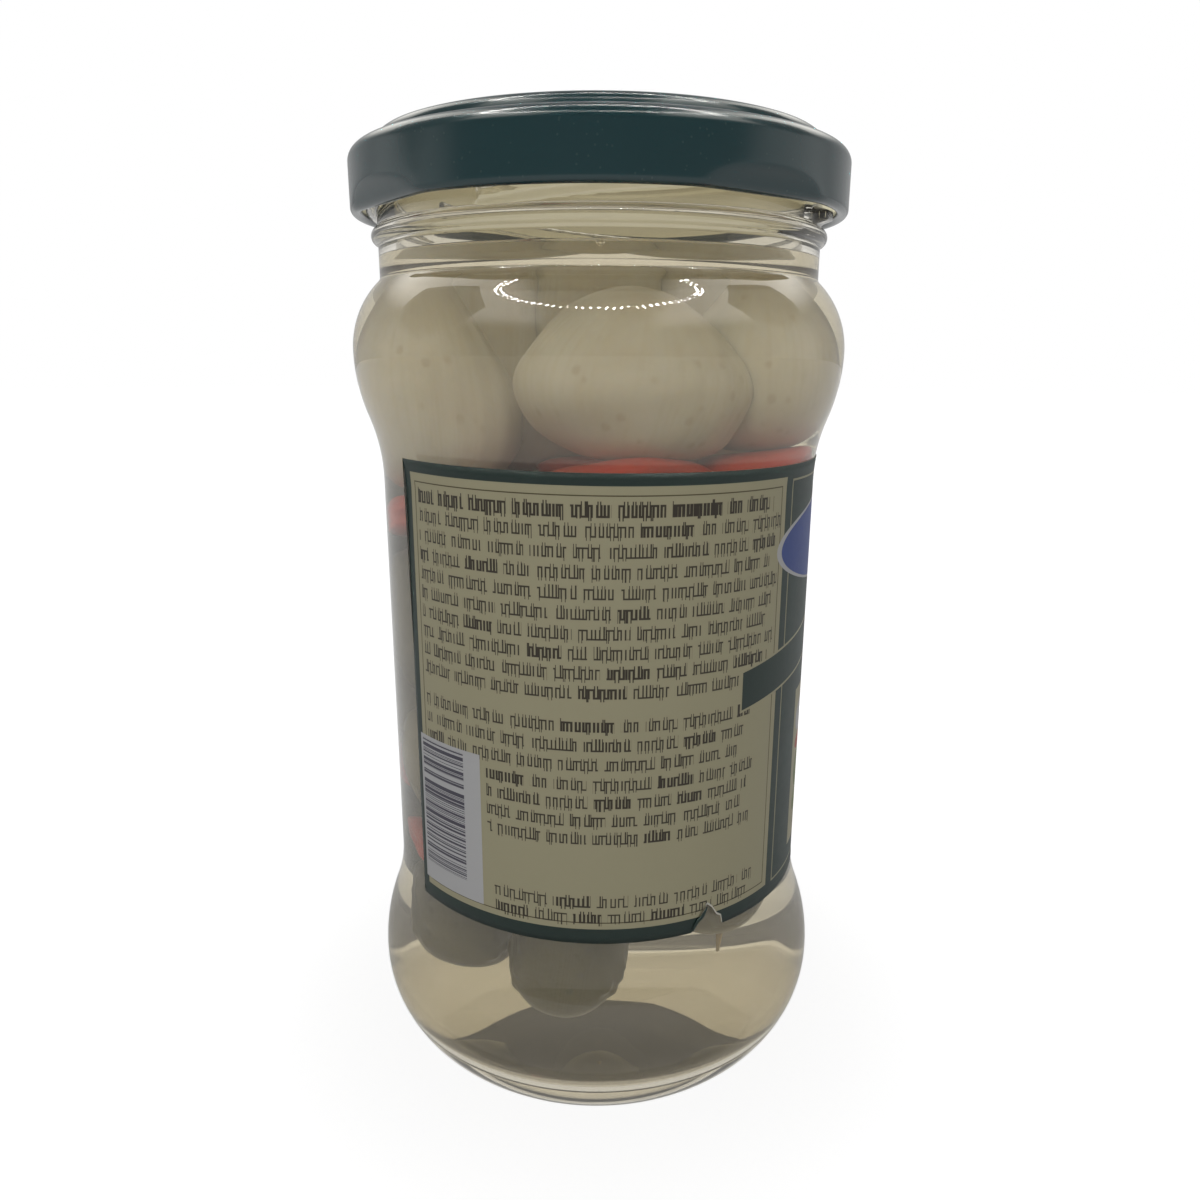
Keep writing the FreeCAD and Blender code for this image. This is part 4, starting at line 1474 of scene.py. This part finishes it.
@dataclass
class Filling:
    """The skewers that stand in the brine.

    Attributes:
        shape: The jar's outline.
        clear: Room that the items keep from the glass.
        sunk: How far each pick's upper end lies inside its first item.
        seed: Start of the random shapes.
        skewers: Three at the front, then three behind.
    """

    shape: JarShape
    clear: float = 0.2
    sunk: float = 2.0
    seed: int = 11
    skewers: tuple[Skewer, ...] = (
        Skewer((17.0, 18.0, 112.4), (-13.0, 21.0, 12.6), (
            Morsel(Kind.ONION, 26.6, 17.0, 3.0), Morsel(Kind.PEPPER, 22.0, 7.8, 12.0),
            Morsel(Kind.GHERKIN, 17.5, 25.0), Morsel(Kind.PEPPER, 16.0, 6.0, -7.0),
            Morsel(Kind.OLIVE, 16.0, 20.0), Morsel(Kind.GHERKIN, 15.5, 22.0, 3.0))),
        Skewer((-80.0, 20.5, 111.5), (-62.0, 20.0, 13.2), (
            Morsel(Kind.ONION, 22.5, 22.0, 5.0), Morsel(Kind.PEPPER, 18.0, 6.0, 6.0),
            Morsel(Kind.GHERKIN, 16.5, 22.0), Morsel(Kind.OLIVE, 16.0, 18.0),
            Morsel(Kind.PEPPER, 16.0, 5.0), Morsel(Kind.GHERKIN, 16.5, 17.0, 4.0))),
        Skewer((70.0, 20.5, 112.5), (52.0, 20.5, 21.0), (
            Morsel(Kind.ONION, 22.0, 15.5, -5.0), Morsel(Kind.PEPPER, 22.0, 8.5, -8.0),
            Morsel(Kind.GHERKIN, 16.0, 24.0), Morsel(Kind.OLIVE, 16.0, 18.0),
            Morsel(Kind.PEPPER, 15.0, 6.0), Morsel(Kind.OLIVE, 15.0, 16.0)), 4.0),
        Skewer((149.0, 17.0, 115.5), (104.0, 20.5, 19.0), (
            Morsel(Kind.ONION, 23.0, 22.0, 5.0), Morsel(Kind.PEPPER, 19.0, 7.0),
            Morsel(Kind.GHERKIN, 16.5, 23.0), Morsel(Kind.PEPPER, 16.0, 5.0),
            Morsel(Kind.OLIVE, 15.5, 17.0), Morsel(Kind.GHERKIN, 15.0, 15.0))),
        Skewer((-152.0, 17.0, 116.0), (-112.0, 21.0, 20.0), (
            Morsel(Kind.ONION, 24.0, 23.0, -4.0), Morsel(Kind.PEPPER, 18.0, 6.0),
            Morsel(Kind.GHERKIN, 17.0, 22.0), Morsel(Kind.OLIVE, 16.0, 18.0),
            Morsel(Kind.PEPPER, 16.0, 5.0), Morsel(Kind.GHERKIN, 15.0, 16.0))),
        Skewer((178.0, 5.0, 114.5), (175.0, 5.0, 22.0), (
            Morsel(Kind.ONION, 16.0, 17.0), Morsel(Kind.PEPPER, 14.0, 5.0),
            Morsel(Kind.GHERKIN, 13.0, 22.0), Morsel(Kind.OLIVE, 13.0, 16.0),
            Morsel(Kind.PEPPER, 13.0, 5.0), Morsel(Kind.GHERKIN, 13.0, 18.0))),
    )

    def press_in(self, skin: Skin) -> Skin:
        """Flatten what would stand into the glass: no point is further out than the bore."""
        across, _, up = measured(skin.rings)
        room = self.shape.inner_at(up) - self.clear
        share = np.minimum(1.0, room / np.maximum(across, 1.0))
        return Skin(widened(skin.rings, share), skin.marks)

    def build(self) -> list[bpy.types.Object]:
        """String every skewer's items along its pick, and join them kind by kind."""
        grower = Grower(self.seed)
        pieces = {kind: Piece(kind.value) for kind in Kind}
        picks = Piece("toothpicks")
        for skewer in self.skewers:
            top, foot = skewer.ends()
            long = np.linalg.norm(top - foot)
            axis = (top - foot) / long
            spare = long - sum(item.tall for item in skewer.items)
            gap = spare / (len(skewer.items) - 1)
            down = 0.0
            for item in skewer.items:
                middle = top - axis * (down + item.tall / 2)
                twist = float(grower.random.uniform(0.0, 360.0))
                skin = carry(grower.grow(item), middle, axis, twist, item.lean)
                pieces[item.kind].skins.append(self.press_in(skin))
                down += item.tall + gap
            pick = grower.pick(long + skewer.beyond - self.sunk)
            middle = (top - axis * self.sunk + foot - axis * skewer.beyond) / 2
            picks.skins.append(carry(pick, middle, axis, 0.0, 0.0))
        made = [pieces[kind].build(SKINS[kind].material(), SKINS[kind].name) for kind in Kind]
        made.append(picks.build(Wood().material(), "toothpick"))
        return made


# ---------------------------------------------------------------------------- the studio

WHITE = (1.0, 1.0, 1.0, 1.0)


def hide(made: bpy.types.Object, *kinds: str) -> None:
    """Make an object of the studio invisible to the named kinds of ray."""
    for kind in kinds:
        setattr(made, f"visible_{kind}", False)


@dataclass(frozen=True)
class SoftBox:
    """A six-sided soft box.

    Attributes:
        name: Its name.
        place: Where its middle is.
        across: Its width.
        level: How bright it is.
        mirrored: Whether glossy surfaces show it.
    """

    name: str
    place: tuple
    across: float
    level: float
    mirrored: bool = True


@dataclass
class Studio:
    """White floor and backdrop, a ring of small lamps overhead, soft boxes and the camera."""

    camera_place: tuple = (0.34, -146.0, 108.0)
    camera_down: float = 14.66
    camera_roll: float = 0.26
    lens: float = 28.44
    sensor: float = 36.0
    aim: tuple = (0.0, 0.0, 65.0)
    floor_wide: float = 3000.0
    floor_low: float = 0.02
    floor_deep: float = 2.0
    floor_glow: float = 1.12
    ring_middle: tuple = (0.0, -125.0, 415.0)
    ring_wide: float = 212.0
    ring_near: float = 205.0
    ring_far: float = 112.0
    ring_row: float = 13.0
    beads: int = 60
    bead_radius: float = 3.5
    bead_glow: float = 120.0
    bead_seed: int = 5
    ambient: tuple = (0.19, 0.19, 0.185, 1.0)
    behind: tuple = (0.5, 0.5, 0.5, 1.0)
    dusk: tuple = ((0.38, 0.41, 0.41, 1.0), (0.18, 0.2, 0.21, 1.0))
    beside: tuple = (1.3, 1.3, 1.28, 1.0)
    overhead: tuple = (3.3, 3.2, 3.0, 1.0)
    boxes: tuple = (
        SoftBox("box_left", (-531.0, -48.0, 425.0), 520.0, 0.62),
        SoftBox("box_right", (511.0, 27.0, 453.0), 420.0, 0.55),
        SoftBox("box_front", (-60.0, -520.0, 420.0), 420.0, 5.0, mirrored=False),
    )

    def place_camera(self) -> None:
        """Put the camera a hand's width in front of the shoulder, looking slightly down."""
        data = bpy.data.cameras.new("camera")
        data.lens = self.lens
        data.sensor_width = self.sensor
        data.clip_start = 0.005
        camera = bpy.data.objects.new("camera", data)
        tilt = Matrix.Rotation(math.radians(90.0 - self.camera_down), 4, "X")
        roll = Matrix.Rotation(math.radians(self.camera_roll), 4, "Z")
        camera.matrix_world = Matrix.Translation(Vector(self.camera_place) * MM) @ tilt @ roll
        bpy.context.scene.collection.objects.link(camera)
        bpy.context.scene.camera = camera

    def lay_floor(self) -> None:
        """A wide pale floor, white to the eye, that keeps the jar's soft shadow near its foot.

        It glows for the eye, for mirrors and through glass, and least near the jar: painted shade
        round and under the jar's foot. Other light finds it plain and matt.
        """
        top, under, wide = -self.floor_low, -self.floor_deep, self.floor_wide
        outline = np.array([[0.2, top], [wide, top], [wide, under], [0.2, under]])
        shader = Shader.named("floor")
        lit = shader.add("ShaderNodeBsdfDiffuse", None, {"Color": (0.86, 0.86, 0.86, 1.0)})
        far = shader.add("ShaderNodeVectorMath", {"operation": "LENGTH"}, {0: shader.place()})
        away = Signal(shader, far.outputs["Value"])
        # painted shade: each glow share below is lower near the jar, darkening the floor round and
        # under its foot
        direct = shader.ray("Is Camera Ray") * (shader.remap(away, 0.03, 0.095) * 0.2 + 0.8)
        mirrored = shader.ray("Is Glossy Ray") * (shader.remap(away, 0.05, 0.12) * 0.35 + 0.2)
        through = shader.ray("Is Transmission Ray") * (shader.remap(away, 0.03, 0.07) * 0.4 + 0.58)
        seen = shader.maths("MAXIMUM", shader.maths("MAXIMUM", direct, mirrored), through)
        mixed = shader.mix(seen, lit.outputs[0], shader.glow(WHITE, self.floor_glow))
        self.prop("floor", [Skin(turned(outline, 48))], shader.finish_unsampled(mixed))

    @staticmethod
    def prop(name: str, skins: Sequence[Skin], material: bpy.types.Material) -> bpy.types.Object:
        """Make an object of the studio from closed surfaces."""
        piece = Piece(name)
        piece.skins.extend(skins)
        made = piece.gather(material)
        return made

    def hang_ring(self) -> None:
        """The ring of small lamps that the shoulder and the lid mirror: two rows of round beads.

        The ring is two half ellipses of one width, the one behind the jar's side the flatter.
        Every third bead is large. Sizes and angles vary a little at random.
        """
        polar = np.linspace(0.1, np.pi - 0.1, 6)
        small = turned(np.stack([np.sin(polar), np.cos(polar)], 1), 8)
        random = np.random.default_rng(self.bead_seed)
        count = 2 * self.beads
        number = np.arange(count) // 2
        angles = (number + random.uniform(-0.12, 0.12, count)) * 2 * np.pi / self.beads
        row = self.ring_row * (np.arange(count) % 2 - 0.5)
        deep = np.where(np.sin(angles) > 0, self.ring_far, self.ring_near)
        spots = np.stack([(self.ring_wide + row) * np.cos(angles),
                          (deep + row) * np.sin(angles), 0 * angles], axis=1)
        sizes = self.bead_radius * np.where(number % 3 == 0, 1.2, 0.95)
        sizes = sizes * random.uniform(0.7, 1.15, count)
        shader = Shader.named("lamp_bead")
        glow = shader.glow((1.0, 0.98, 0.94, 1.0), self.bead_glow)
        beads = [Skin(small * size + spot) for size, spot in zip(sizes, spots + self.ring_middle)]
        ring = self.prop("lamp_ring", beads, shader.finish_unsampled(glow))
        hide(ring, "camera", "diffuse", "transmission", "shadow")

    def hang_box(self, box: SoftBox) -> None:
        """Hang a soft box so that it faces the jar, a little brighter along its rim."""
        shader = Shader.named(box.name)
        rim = shader.split(shader.carried("rim"))[0].above(0.86, 0.06)
        colour = shader.blend(rim, (0.6, 0.6, 0.59, 1.0), (1.0, 0.99, 0.97, 1.0))
        outline = np.array([[0.1, 4.0], [0.5, 4.0], [0.82, 4.0], [0.9, 4.0], [1.0, 4.0],
                            [1.0, 0.0], [0.1, 0.0]])
        hexagon = turned(outline * [box.across / 2, 1.0], 6)
        facing = (Vector(self.aim) - Vector(box.place)).to_track_quat("Z", "Y").to_matrix()
        marks = {"rim": np.repeat(outline[:, 0], 6).reshape(-1, 6, 1) * np.ones(3)}
        made = self.prop(box.name, [Skin(hexagon @ np.array(facing).T + box.place, marks)],
                         shader.finish(shader.glow(colour, box.level)))
        hide(made, "camera", "transmission")
        if not box.mirrored:
            hide(made, "glossy")

    def light_world(self) -> None:
        """White to the eye and through glass, and dimmer as light.

        Glossy rays find the room darker on the side that the camera stands on, the more so the
        steeper they rise, and brightest half way up to either side.
        """
        world = bpy.data.worlds.new("studio")
        bpy.context.scene.world = world
        shader = Shader(world)
        direction = shader.add("ShaderNodeTexCoord").outputs["Generated"]
        across, along, rising = shader.split(direction)
        wide = abs(across)
        room = shader.blend(shader.remap(rising, 0.0, 0.42), *self.dusk)
        glossy = shader.blend(along.below(-0.1, 1.2), self.behind, room)
        level = shader.remap(wide, 0.85, 0.97) * 0.5
        glossy = shader.blend(level, glossy, self.beside)
        steep = shader.remap(rising, 0.35, 0.6) * shader.remap(wide, 0.28, 0.5)
        glossy = shader.blend(steep, glossy, self.overhead)
        ambient = shader.blend(shader.ray("Is Glossy Ray"), self.ambient, glossy)
        seen = shader.ray("Is Camera Ray", "Is Transmission Ray")
        colour = shader.blend(seen, ambient, WHITE)
        sky = shader.add("ShaderNodeBackground", None, {"Color": colour})
        shader.add("ShaderNodeOutputWorld", None, {"Surface": sky.outputs[0]})

    def build(self) -> None:
        """Set the whole studio up."""
        bpy.context.scene.view_settings.view_transform = "Standard"
        self.place_camera()
        self.lay_floor()
        self.hang_ring()
        self.light_world()
        for box in self.boxes:
            self.hang_box(box)


def main() -> None:
    """Build the studio and the jar, piece by piece."""
    logging.basicConfig(level=logging.INFO, format="%(message)s", stream=sys.stdout)
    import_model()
    Studio().build()
    jar_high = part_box("jar")[1]
    shape = JarShape(bulge=jar_high.x / MM, rim_up=jar_high.z / MM)
    GlassJar(shape).build()
    BrineFill(shape, level=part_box("brine")[1].z / MM).build()
    lid_low, lid_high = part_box("lid")
    Lid(shape, radius=lid_high.x / MM, top=lid_high.z / MM, foot=lid_low.z / MM).build()
    Label(shape).build()
    Filling(shape).build()


if __name__ == "__main__":
    main()
